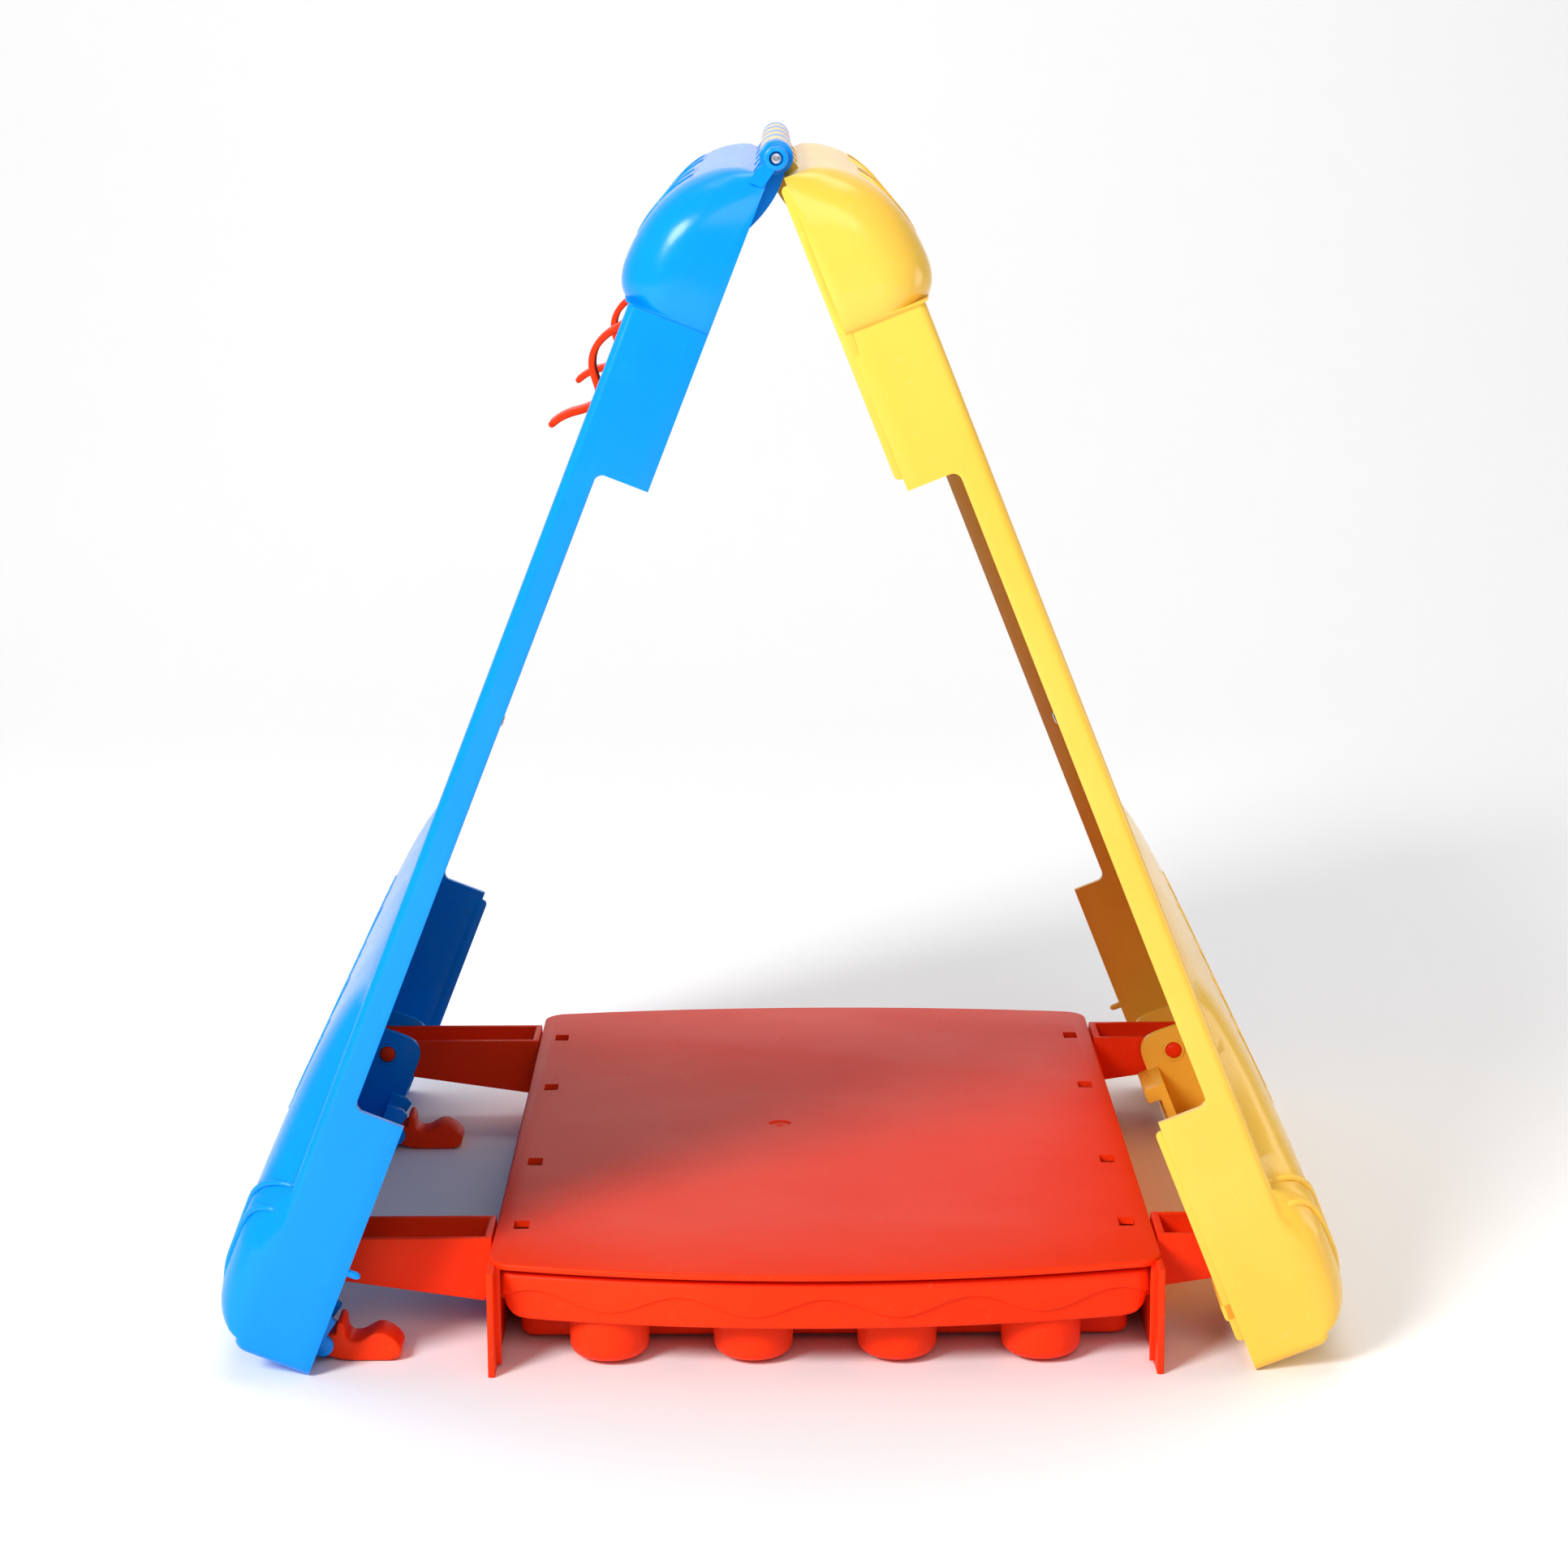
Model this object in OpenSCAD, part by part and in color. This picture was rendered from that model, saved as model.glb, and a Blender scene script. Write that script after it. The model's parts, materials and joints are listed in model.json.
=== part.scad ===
// Double-sided folding tabletop easel that closes into a carry case.
// X: blue shell on -X, yellow shell on +X. Y: along the hinge. Z: up, floor at 0.
// Shell drawings use u (down the shell from the hinge) and v (outward from the rim plane).

/* [Case shells] */
// Length of each shell from the hinge axis to its foot
shell_len = 430; // [420:1:440]
// Outside width of each shell along the hinge
shell_w = 342; // [338:1:346]
// Angle of each shell from the vertical
lean = 21.6; // [21.2:0.1:22]
// Depth of each shell from its rim to its outer face
shell_depth = 27; // [26:0.5:28]
// Thickness of the moulded walls
wall = 2.4; // [2:0.1:2.6]
// Height of the rounded head above the rim plane
head_depth = 33; // [31:0.5:34]
// Distance from the hinge to the end of the head
head_end = 58.7; // [56:0.1:60]
// How far the head stands out past each side wall
head_side = 2.5; // [1:0.5:3]
// Extra depth of the rounded foot pocket
foot_rise = 12; // [8:0.5:13]
// Start of the side cut-outs, from the hinge
notch_start = 112; // [108:1:116]
// End of the side cut-outs, from the hinge
notch_end = 337; // [330:1:340]

/* [Hinge] */
// Diameter of the steel hinge rod
rod_d = 4.2; // [3.8:0.1:4.4]
// Outside diameter of the hinge knuckles
knuckle_d = 10.8; // [10:0.1:11.4]
// Number of knuckles between the end bosses
knuckle_count = 9; // [7:2:11]

/* [Boards] */
// Thickness of each drawing board
board_t = 3; // [2:0.2:3.2]
// Length of each board down the shell
board_len = 226; // [220:1:228]
// Width of each board along the hinge
board_w = 306; // [300:1:308]
// Overlap of the frame in front of each board
board_lap = 8; // [6:1:9]

/* [Table] */
// Height of the table top above the floor
table_h = 37.4; // [36:0.1:39]
// Width of the table across the easel
table_w = 225.3; // [224:0.1:226]
// Length of the table along the hinge, without the bowed ends
table_len = 322; // [316:1:324]
// Offset of the table from the hinge line towards the yellow shell
table_x = 14.55; // [14:0.05:15]
// Thickness of the table plate and walls
table_t = 2.4; // [2:0.1:2.6]
// How far the open end of the table bows out
bow_near = 12; // [8:1:12]
// How far the closed end of the table bows out
bow_far = 8; // [4:1:8]

/* [Cup drawer] */
// Outside diameter of each cup at its rim
cup_d = 29; // [27:0.5:30]
// Distance between cup centres
cup_pitch = 48.6; // [46:0.1:49]
// Depth of the paint basin behind the cups
basin_len = 74; // [60:1:76]

/* [Arms and latches] */
// Width of each spreader arm
arm_w = 25; // [23:0.5:25]
// Width of each latch lever
latch_w = 14; // [12:0.5:14]
// Diameter of the latch pins
latch_pin_d = 2; // [1.6:0.1:2.2]
// Width of each paper clip
clip_w = 12; // [8:1:16]

/* [Hidden] */

$fn = 48;
BLUE = -1;
YELLOW = 1;
NEAR = -1;
FAR = 1;
cut = 1;                            // how far a cutting solid runs past a face
fit = 0.06;                         // radial clearance of a running fit
gap = 0.3;                          // space between parts that do not touch
hinge_h = shell_len * cos(lean);    // hinge axis above the floor
half_w = shell_w / 2;
face_in = shell_depth - wall;       // inner side of the outer face

// Head and foot outlines, as superellipse arcs
head_u = 46;                        // middle of the head arc, from the hinge
head_reach = 37;
foot_u = 392;                       // middle of the foot pocket, from the hinge
foot_up = 94;                       // reach of the pocket towards the hinge
foot_down = 33.5;                   // reach of the pocket towards the floor
foot_pow = 3.2;
rim_start = 6.4;                    // where the rim begins below the knuckles
base_round = 4;
arc_steps = 14;

// Hinge
knuckle_r = knuckle_d / 2;
boss_r = 3.8;                       // the slim bosses at both ends of the hinge
boss_w = 9;
knuckle_gap = 0.6;
knuckle_span = shell_w - 2 * boss_w;
knuckle_pitch = knuckle_span / knuckle_count;
knuckle_bay = knuckle_r + 0.7;      // radius kept clear of the other shell's knuckles

// Lip that stands proud of one side's rim
lip_t = 1.1;
lip_rise = 2.4;

// Locating pegs on the rims
peg_u = 391;
peg_len = 4.4;

// Board opening
board_u = 75;
board_v = face_in - 0.1 - board_t;

// Spreader arms
pivot_u = 400;
pivot_v = 14;
ear_t = 2.6;
ear_top = 390;
ear_round = 9;
arm_in = 113;                       // inner side of each arm from the middle
arm_play = 0.6;
arm_wall = 2.4;
arm_top = table_h - pivot_z();      // web above the pivot
arm_gap = 0.6;                      // free space between an arm and the table
arm_drop = 9.2;                     // web depth below the pivot, at the pivot
arm_slope = 0.15;
arm_hub = 6;
pin_r = 2.2;
pin_head_r = 3.25;

// Latches
latch_u = 422.5;
latch_v = -1.1;
latch_len = 26;
latch_play = 0.5;
lug_t = 2.4;
lug_r = 3.6;
latch_y = [-149, 92];               // centre of each latch along the hinge
keeper_u = 404;

// Paper clips
clip_u = 68;
clip_v = shell_depth - wall / 2;
clip_r = 1.9;
clip_t = 2.4;
clip_y = 85;
clip_pin_r = 0.7;
clip_path = [[1.2, 0.1], [2.8, 0.7], [5.5, 2.4], [9, 5.1], [13, 6.9], [17, 7.3], [21, 6.2], [24.4, 3.8],
    [27.5, 1.3], [30.6, 0.5], [33.6, 1.4], [36, 4], [38.4, 7.2], [41.2, 10], [44.4, 12]];

// Table and drawer
table_half = table_w / 2;
table_y = -5;                       // middle of the table along the hinge
corner_near = table_y - table_len / 2;
corner_far = table_y + table_len / 2;
corner_r = 10;
corner_turn = 72;                   // how far round each corner goes before the bow
corner_steps = 6;
bow_steps = 32;
wall_reach = 6;                     // side walls past the plate's near corners
rail_top = 30.6;
rail_w = 5;
drawer_top = 33;
deck_t = 2;
apron_low = 17;
drawer_wall = 1.8;
drawer_floor = 3.6;
cup_y = -151;
cup_floor = 1.6;
cup_taper = 1.2;
cup_round = 4;

function ell(t, p) = pow(max(0, 1 - pow(abs(t), p)), 1 / p);
function pivot_z() = hinge_h - pivot_u * cos(lean) + pivot_v * sin(lean);
function pivot_x() = pivot_u * sin(lean) + pivot_v * cos(lean);
function local_x(u, v) = u * sin(lean) + v * cos(lean);
function local_z(u, v) = hinge_h - u * cos(lean) + v * sin(lean);

// Outer outline of a shell in u and v, pulled inwards by t
function head_arc(t) = [for (i = [0 : arc_steps])
    let (s = -0.97 + i * (0.97 + 0.30) / arc_steps)
    [head_u + s * (head_reach - t), (head_depth - t) * ell(s, 2)]];
function foot_arc(t) = [
    for (i = [0 : arc_steps])
        let (s = -cos(90 * i / arc_steps))
        [foot_u + s * (foot_up - t), shell_depth - t + foot_rise * ell(s, 2)],
    for (i = [1 : arc_steps])
        let (s = sin(90 * i / arc_steps))
        [foot_u + s * (foot_down - t), shell_depth - t + foot_rise * ell(s, foot_pow)]];
function base_arc() = [for (i = [0 : 4]) let (a = 90 - 22.5 * i)
    [shell_len - base_round + base_round * cos(a), shell_depth - base_round - 0.6 + base_round * sin(a)]];
function outer_outline() = concat([[rim_start, 0]], head_arc(0), [[head_end, shell_depth]],
    foot_arc(0), base_arc(), [[shell_len, 0]]);
function inner_outline() = concat([[rim_start + wall, -cut * 4], [rim_start + wall, 2]],
    [for (p = head_arc(wall)) if (p[0] > rim_start + wall + 1) p], [[head_end - wall, face_in]],
    foot_arc(wall), [[shell_len - wall, face_in - base_round], [shell_len - wall, -cut * 4]]);

// A ribbon of thickness t along a path
function side(path, i, t) =
    let (a = path[max(0, i - 1)], b = path[min(len(path) - 1, i + 1)], d = b - a)
    path[i] + t / 2 / norm(d) * [-d[1], d[0]];
function ribbon(path, t) = concat([for (i = [0 : len(path) - 1]) side(path, i, -t)],
    [for (i = [len(path) - 1 : -1 : 0]) side(path, i, t)]);

// Stands a drawing up in the XZ plane, from y0 to y1
module slab(y0, y1) {
    translate([0, y1, 0])
        rotate([90, 0, 0])
            linear_extrude(y1 - y0)
                children();
}

// Places shell coordinates (u, y, v) on one side of the easel
module on_shell(hand) {
    translate([0, 0, hinge_h])
        mirror([hand == BLUE ? 1 : 0, 0, 0])
            rotate([0, 90 - lean, 0])
                children();
}

// ---- Shells ----

module knuckle(i, r) {
    y0 = -knuckle_span / 2 + i * knuckle_pitch;
    slab(y0 + knuckle_gap / 2, y0 + knuckle_pitch - knuckle_gap / 2)
        circle(r);
}

module knuckle_leaf(i) {
    y0 = -knuckle_span / 2 + i * knuckle_pitch;
    slab(y0 + knuckle_gap / 2, y0 + knuckle_pitch - knuckle_gap / 2)
        polygon([[0, 0], [0, -3.6], [6, -4.1], [12, -3.6], [18, -2.2], [25, 0.3], [25, 3],
            [rim_start + wall + 1, 6], [4, 3.5]]);
}

module side_notch(hand_y, low_v) {
    y0 = hand_y == NEAR ? -half_w - head_side - cut : half_w - wall - cut;
    slab(y0, y0 + wall + head_side + 2 * cut)
        polygon([[notch_start, -cut * 5], [notch_start, low_v - 3], [notch_start + 3, low_v],
            [notch_end - 1, low_v], [notch_end, low_v - 1], [notch_end, -cut * 5]]);
}

module arm_ear(y0) {
    slab(y0, y0 + ear_t)
        difference() {
            union() {
                translate([ear_top + ear_round, 1 + ear_round])
                    circle(ear_round);
                translate([ear_top, 1 + ear_round])
                    square([shell_len - wall / 2 - ear_top, face_in - ear_round]);
                translate([ear_top + ear_round, 1])
                    square([shell_len - wall / 2 - ear_top - ear_round, 2 * ear_round]);
            }
            translate([pivot_u, pivot_v])
                circle(pin_r + fit);
        }
}

module latch_lug(y0, thick) {
    slab(y0, y0 + thick)
        difference() {
            union() {
                translate([latch_u - 11, -2.4])
                    square([shell_len - wall / 2 - latch_u + 11, 9]);
                translate([latch_u, latch_v])
                    circle(lug_r);
            }
            translate([latch_u, latch_v])
                circle(latch_pin_d / 2 + fit);
            translate([shell_len - 4, -6])
                square([8, 6]);
        }
}

module board_post(u, y) {
    translate([u, y, board_v + 0.2])
        difference() {
            cylinder(h = face_in - board_v + 0.5, r = 3.6);
            translate([0, 0, -cut])
                cylinder(h = 3.6, r = 1.45);
        }
}

module at_board_posts() {
    for (u = [board_u + 38, board_u + board_len - 38])
        for (hand_y = [NEAR, FAR])
            translate([u, hand_y * (board_w / 2 + 4.4), 0])
                children();
}

module shell_body(far_notch) {
    difference() {
        union() {
            slab(-half_w, half_w)
                polygon(outer_outline());
            slab(-half_w - head_side, half_w + head_side)
                polygon(concat([[rim_start, 0]], head_arc(0), [[head_end, shell_depth], [head_end + 1, 0]]));
        }
        slab(-half_w + wall, half_w - wall)
            polygon(inner_outline());
        side_notch(NEAR, 17.3);
        side_notch(FAR, far_notch);
        translate([board_u + board_lap, -board_w / 2 + board_lap, face_in - cut])
            cube([board_len - 2 * board_lap, board_w - 2 * board_lap, wall + 3 * cut]);
    }
    for (u = [board_u + 38, board_u + board_len - 38])
        for (hand_y = [NEAR, FAR])
            board_post(u, hand_y * (board_w / 2 + 4.4));
    for (y0 = [arm_in - arm_play - ear_t, arm_in + arm_w + arm_play]) {
        arm_ear(y0);
        arm_ear(-y0 - ear_t);
    }
}

// Takes away what the other shell's knuckles sweep, and the rod's bore
module hinge_cuts(others) {
    for (i = others)
        knuckle_bay_cut(i);
    slab(-half_w - head_side - cut, half_w + head_side + cut)
        circle(rod_d / 2 + fit);
}

module knuckle_bay_cut(i) {
    y0 = -knuckle_span / 2 + i * knuckle_pitch;
    slab(y0 - knuckle_gap / 2, y0 + knuckle_pitch + knuckle_gap / 2)
        circle(knuckle_bay);
}

module blue_shell() {
    own = [0 : 2 : knuckle_count - 1];
    color("dodgerblue")
        on_shell(BLUE)
            difference() {
                union() {
                    shell_body(18.8);
                    for (i = own) {
                        knuckle(i, knuckle_r);
                        knuckle_leaf(i);
                    }
                    for (y0 = [-half_w, half_w - boss_w])
                        slab(y0, y0 + boss_w)
                            union() {
                                circle(boss_r);
                                square([9, 5]);
                            }
                    for (y0 = latch_y) {
                        latch_lug(y0 - latch_w / 2 - latch_play - lug_t, lug_t);
                        latch_lug(y0 + latch_w / 2 + latch_play, lug_t);
                    }
                    latch_bridge(latch_y[1] + latch_w / 2 + latch_play, arm_in - arm_play - ear_t / 2);
                    latch_bridge(-half_w + wall / 2, latch_y[0] - latch_w / 2 - latch_play - lug_t / 2);
                    rim_peg(NEAR);
                    rim_lips(FAR);
                }
                hinge_cuts([1 : 2 : knuckle_count - 1]);
                for (y = [-clip_y, clip_y])
                    clip_seat(y);
            }
}

// Slot in the outer face for one paper clip, with the bore for its pin
module clip_seat(y) {
    translate([clip_u - clip_r - 0.6, y - clip_w / 2 - 0.5, face_in - cut])
        cube([10, clip_w + 1, wall + 2 * cut]);
    translate([clip_u, 0, clip_v])
        slab(y - clip_w / 2 - 4, y + clip_w / 2 + 4)
            circle(clip_pin_r + fit / 2);
}

// Short peg on one side's rim that locates the closed shells
module rim_peg(hand_y) {
    translate([peg_u, hand_y * (half_w - wall / 2 - 0.2), -peg_len + 1.3]) {
        sphere(1.3);
        cylinder(h = peg_len + 1, r = 1.3);
    }
}

// Low rib that ties a latch lug to the ear or wall beside it
module latch_bridge(y0, y1) {
    slab(y0, y1)
        translate([latch_u - 10, 2])
            square([5, 4]);
}

module rim_lip(y0, u0, u1) {
    slab(y0, y0 + lip_t)
        polygon([[u0, 2], [u0, -lip_rise + 1], [u0 + 1, -lip_rise], [u1 - 5, -lip_rise],
            [u1, -lip_rise + 3], [u1, 2]]);
}

// The lip along one side of a shell, above and below the side cut-out
module rim_lips(hand_y) {
    y0 = hand_y == NEAR ? -half_w + wall - lip_t : half_w - wall;
    rim_lip(y0, 9, notch_start - 4);
    rim_lip(y0, notch_end + 3, shell_len - 12);
}

module keeper(y0, y1) {
    slab(y0, y1)
        union() {
            translate([keeper_u, -3.4])
                square([6, 9]);
            translate([keeper_u, 2])
                square([16, 3.6]);
        }
}

module yellow_shell() {
    own = [1 : 2 : knuckle_count - 1];
    color("gold")
        on_shell(YELLOW)
            difference() {
                union() {
                    shell_body(13.5);
                    rim_lips(NEAR);
                    rim_peg(FAR);
                    for (i = own) {
                        knuckle(i, knuckle_r);
                        knuckle_leaf(i);
                    }
                    keeper(latch_y[1] - latch_w / 2, arm_in - arm_play - ear_t / 2);
                    keeper(-half_w + wall / 2, latch_y[0] + latch_w / 2);
                }
                hinge_cuts([0 : 2 : knuckle_count - 1]);
                for (y0 = [-half_w - gap, half_w - boss_w - gap])
                    slab(y0 - head_side - cut, y0 + boss_w + 2 * gap + head_side + cut)
                        circle(knuckle_bay);
            }
}

module hinge_rod() {
    color("silver")
        translate([0, 0, hinge_h])
            slab(-half_w + 0.6, half_w - 0.6)
                circle(rod_d / 2);
}

// ---- Drawing boards ----

module board(hand, tone) {
    color(tone)
        on_shell(hand)
            translate([board_u, -board_w / 2, board_v])
                cube([board_len, board_w, board_t]);
}

module chalkboard() { board(BLUE, "darkslategray"); }

module whiteboard() { board(YELLOW, "white"); }

module board_washers(hand) {
    color("red")
        on_shell(hand)
            at_board_posts()
                translate([0, 0, board_v - 1.5])
                    difference() {
                        cylinder(h = 1.4, r = 7);
                        translate([0, 0, -cut])
                            cylinder(h = 4, r = 1.7);
                    }
}

module board_screws(hand) {
    color("silver")
        on_shell(hand)
            at_board_posts()
                translate([0, 0, board_v - 1.6]) {
                    translate([0, 0, -1.8])
                        difference() {
                            cylinder(h = 1.8, r = 3);
                            translate([-2.2, -0.4, -cut])
                                cube([4.4, 0.8, 1.8]);
                            translate([-0.4, -2.2, -cut])
                                cube([0.8, 4.4, 1.8]);
                        }
                    cylinder(h = 3.9, r = 1.4);
                }
}

module chalkboard_washers() { board_washers(BLUE); }

module chalkboard_screws() { board_screws(BLUE); }

module whiteboard_washers() { board_washers(YELLOW); }

module whiteboard_screws() { board_screws(YELLOW); }

// ---- Spreader arms ----

// Side view of an arm that reaches r from its pivot
module arm_side(r) {
    intersection() {
        circle(r, $fn = 160);
        polygon([[-arm_hub, arm_top], [r + cut, arm_top],
            [r + cut, -arm_drop - arm_slope * r], [4, -arm_drop - arm_slope * 4],
            [-2, -arm_drop + 0.6], [-arm_hub, -arm_drop + 5]]);
    }
}

// An arm whose pivot is at the origin and which reaches along +X: a channel open at the top
module arm(r) {
    difference() {
        slab(arm_in, arm_in + arm_w)
            arm_side(r);
        slab(arm_in + arm_wall, arm_in + arm_w - arm_wall)
            intersection() {
                polygon([[-arm_hub - cut, arm_top + cut], [r, arm_top + cut],
                    [r, arm_wall - arm_drop - arm_slope * r], [4, arm_wall - arm_drop - arm_slope * 4],
                    [-2, arm_wall + 0.6 - arm_drop], [-arm_hub - cut, arm_wall + 5.6 - arm_drop]]);
                circle(r - arm_wall, $fn = 160);
            }
        slab(arm_in - cut, arm_in + arm_w + cut)
            circle(pin_r + fit + 0.02);
    }
}

module arm_at(hand, hand_y) {
    reach = hand == BLUE ? pivot_x() + table_x - table_half - arm_gap
        : pivot_x() - table_x - table_half - arm_gap;
    color("orangered")
        translate([hand * pivot_x(), 0, pivot_z()])
            mirror([hand == YELLOW ? 1 : 0, 0, 0])
                mirror([0, hand_y == NEAR ? 1 : 0, 0])
                    arm(reach);
}

module blue_arm_near() { arm_at(BLUE, NEAR); }

module blue_arm_far() { arm_at(BLUE, FAR); }

module yellow_arm_near() { arm_at(YELLOW, NEAR); }

module yellow_arm_far() { arm_at(YELLOW, FAR); }

module arm_pins(hand) {
    inner = arm_in - arm_play - ear_t;
    color("orangered")
        for (hand_y = [NEAR, FAR])
            translate([hand * pivot_x(), 0, pivot_z()])
                mirror([0, hand_y == NEAR ? 1 : 0, 0]) {
                    slab(inner - 1.8, inner - 0.05)
                        circle(pin_head_r);
                    slab(inner - 1, arm_in + arm_w + arm_play + ear_t + 0.8)
                        circle(pin_r);
                }
}

module blue_arm_pins() { arm_pins(BLUE); }

module yellow_arm_pins() { arm_pins(YELLOW); }

// ---- Table ----

// Outline of one end of the table, pulled in by t, with its two corners and a bow of height s
function end_outline(t, y, s, way) =
    let (r = corner_r - t, chord = table_half - corner_r, bow_r = (chord * chord + s * s) / (2 * s))
    concat([for (i = [0 : corner_steps]) let (a = i * corner_turn / corner_steps)
        [table_x - way * (chord + r * cos(a)), y + way * (r * sin(a) - corner_r)]],
    [for (i = [0 : bow_steps]) let (x = chord * (2 * i / bow_steps - 1))
        [table_x + way * x, y + way * (s - bow_r + sqrt(pow(bow_r - t, 2) - x * x))]],
    [for (i = [corner_steps : -1 : 0]) let (a = i * corner_turn / corner_steps)
        [table_x + way * (chord + r * cos(a)), y + way * (r * sin(a) - corner_r)]]);

// Plan of the table, pulled in by t all round
module table_plan(t) {
    polygon(concat(end_outline(t, corner_far, bow_far, 1), end_outline(t, corner_near, bow_near, -1)));
}

module table_top() {
    slot_x = 104;
    slot_y = [-120.6, -48.3, 48.3, 120.6];
    wall_in = table_half - table_t;
    color("tomato") {
        difference() {
            translate([0, 0, table_h - table_t])
                linear_extrude(table_t)
                    table_plan(0);
            for (side_x = [-1, 1])
                for (y = slot_y)
                    translate([table_x + side_x * slot_x - 2.7, table_y + 2 + y - 4.4, table_h - table_t - cut])
                        cube([5.4, 8.8, table_t + 2 * cut]);
            translate([table_x - 15, table_y, table_h - 0.4])
                cylinder(h = 1, r = 4.2);
        }
        for (side_x = [-1, 1])
            translate([table_x, 0, 0])
                mirror([side_x < 0 ? 1 : 0, 0, 0]) {
                    translate([wall_in, corner_near - wall_reach, 0])
                        cube([table_t, table_len - 4 + wall_reach, table_h - 1]);
                    translate([wall_in - rail_w, corner_near + 8, rail_top - 2])
                        cube([rail_w + 1, table_len - 16, 2]);
                    translate([wall_in - rail_w, corner_near + 8, rail_top - 10])
                        cube([1.6, table_len - 16, 9]);
                }
        translate([table_x - wall_in, corner_far - 8, 10])
            cube([2 * wall_in, table_t, table_h - 11]);
    }
}

// ---- Cup drawer ----

module cup_solid(shrink, low) {
    r = cup_d / 2 - shrink;
    rotate_extrude()
        polygon(concat([[0, low]],
            [for (i = [0 : 5]) let (a = -90 + 18 * i)
                [r - cup_taper - cup_round + cup_round * cos(a), low + cup_round + cup_round * sin(a)]],
            [[r, drawer_top + (shrink > 0 ? cut : 0)], [0, drawer_top + (shrink > 0 ? cut : 0)]]));
}

module at_cups() {
    for (i = [-1.5 : 1 : 1.5])
        translate([table_x + i * cup_pitch, cup_y, 0])
            children();
}

module drawer_plan(t, back) {
    intersection() {
        table_plan(t);
        translate([table_x - table_w, corner_near - 40])
            square([2 * table_w, back - corner_near + 40]);
    }
}

module cup_drawer() {
    front_in = table_t + gap + 0.4;
    basin_x = table_half - table_t - rail_w - 1.2;
    basin_y = cup_y + cup_d / 2 - drawer_wall + 0.4;
    deck_back = basin_y + basin_len + 3;
    color("tomato")
        difference() {
            union() {
                translate([0, 0, drawer_top - deck_t])
                    linear_extrude(deck_t)
                        drawer_plan(front_in, deck_back);
                translate([0, 0, apron_low])
                    linear_extrude(drawer_top - apron_low)
                        difference() {
                            drawer_plan(front_in, corner_near + 6);
                            drawer_plan(front_in + 2, corner_near + 7);
                        }
                at_cups()
                    cup_solid(0, cup_floor);
                translate([table_x - basin_x, basin_y, drawer_floor - drawer_wall])
                    cube([2 * basin_x, basin_len, drawer_top - drawer_floor + drawer_wall]);
            }
            translate([table_x - basin_x + drawer_wall, basin_y + drawer_wall, drawer_floor])
                cube([2 * (basin_x - drawer_wall), basin_len - 2 * drawer_wall, drawer_top]);
            at_cups()
                cup_solid(drawer_wall, cup_floor + drawer_wall);
        }
}

// ---- Latches ----

// Side view of a latch lever that lies along +X from its pivot
module latch_side() {
    polygon([[-2.6, -2.6], [2, -4.6], [6, -5.8], [11, -6.2], [latch_len - 4, -6.2],
        [latch_len - 1.6, -5.4], [latch_len - 0.2, -3.2], [latch_len - 0.6, -0.9],
        [latch_len - 3, 1.4], [latch_len - 6.5, 3.4], [latch_len - 9.5, 3.4],
        [latch_len - 12.5, 1.8], [latch_len - 15.5, 0.4], [latch_len - 18, 0.2],
        [7.2, 1], [6.8, 6.6], [5.6, 7.6], [4.4, 6.6], [4, 2.8], [0, 2.9], [-2.4, 1.4]]);
}

module latch_hollow() {
    polygon([[5.4, -8], [5.4, -2.2], [8, -1.8], [latch_len - 15, -1.6], [latch_len - 11.5, 0.2],
        [latch_len - 8.5, 1.5], [latch_len - 6.5, 1.4], [latch_len - 3.4, -1], [latch_len - 2.6, -3],
        [latch_len - 2.6, -8]]);
}

module latch(y) {
    color("orangered")
        translate([-local_x(latch_u, latch_v), y, local_z(latch_u, latch_v)])
            difference() {
                slab(-latch_w / 2, latch_w / 2)
                    latch_side();
                slab(-latch_w / 2 + 1.6, latch_w / 2 - 1.6)
                    latch_hollow();
                slab(-latch_w, latch_w)
                    circle(latch_pin_d / 2 + fit);
            }
}

module latch_near() { latch(latch_y[0]); }

module latch_far() { latch(latch_y[1]); }

module latch_pins() {
    reach = latch_w / 2 + latch_play + lug_t - 0.3;
    color("silver")
        for (y = latch_y)
            translate([-local_x(latch_u, latch_v), y, local_z(latch_u, latch_v)])
                slab(-reach, reach)
                    circle(latch_pin_d / 2);
}

// ---- Paper clips ----

module clip(y) {
    color("red")
        on_shell(BLUE)
            translate([clip_u, y, clip_v])
                difference() {
                    union() {
                        slab(-clip_w / 2, clip_w / 2)
                            circle(clip_r);
                        slab(-clip_w / 2, clip_w / 2)
                            polygon(ribbon(clip_path, clip_t));
                    }
                    slab(-clip_w, clip_w)
                        circle(clip_pin_r + fit);
                }
}

module clip_near() { clip(-clip_y); }

module clip_far() { clip(clip_y); }

module clip_pins() {
    color("silver")
        on_shell(BLUE)
            for (y = [-clip_y, clip_y])
                translate([clip_u, y, clip_v])
                    slab(-clip_w / 2 - 3, clip_w / 2 + 3)
                        circle(clip_pin_r);
}

blue_shell();
yellow_shell();
hinge_rod();
chalkboard();
whiteboard();
chalkboard_washers();
chalkboard_screws();
whiteboard_washers();
whiteboard_screws();
blue_arm_near();
blue_arm_far();
yellow_arm_near();
yellow_arm_far();
blue_arm_pins();
yellow_arm_pins();
table_top();
cup_drawer();
latch_near();
latch_far();
latch_pins();
clip_near();
clip_far();
clip_pins();
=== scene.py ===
"""Looks of the double-sided tabletop easel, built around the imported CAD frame.

Shell drawings use millimetres (u, y, v): u runs down a shell from the hinge axis, y along the
hinge, and v outward from the rim plane. Everything else is in millimetres of the object's frame.
"""

import json
import math

import bmesh
import bpy
from mathutils import Matrix, Vector


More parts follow.
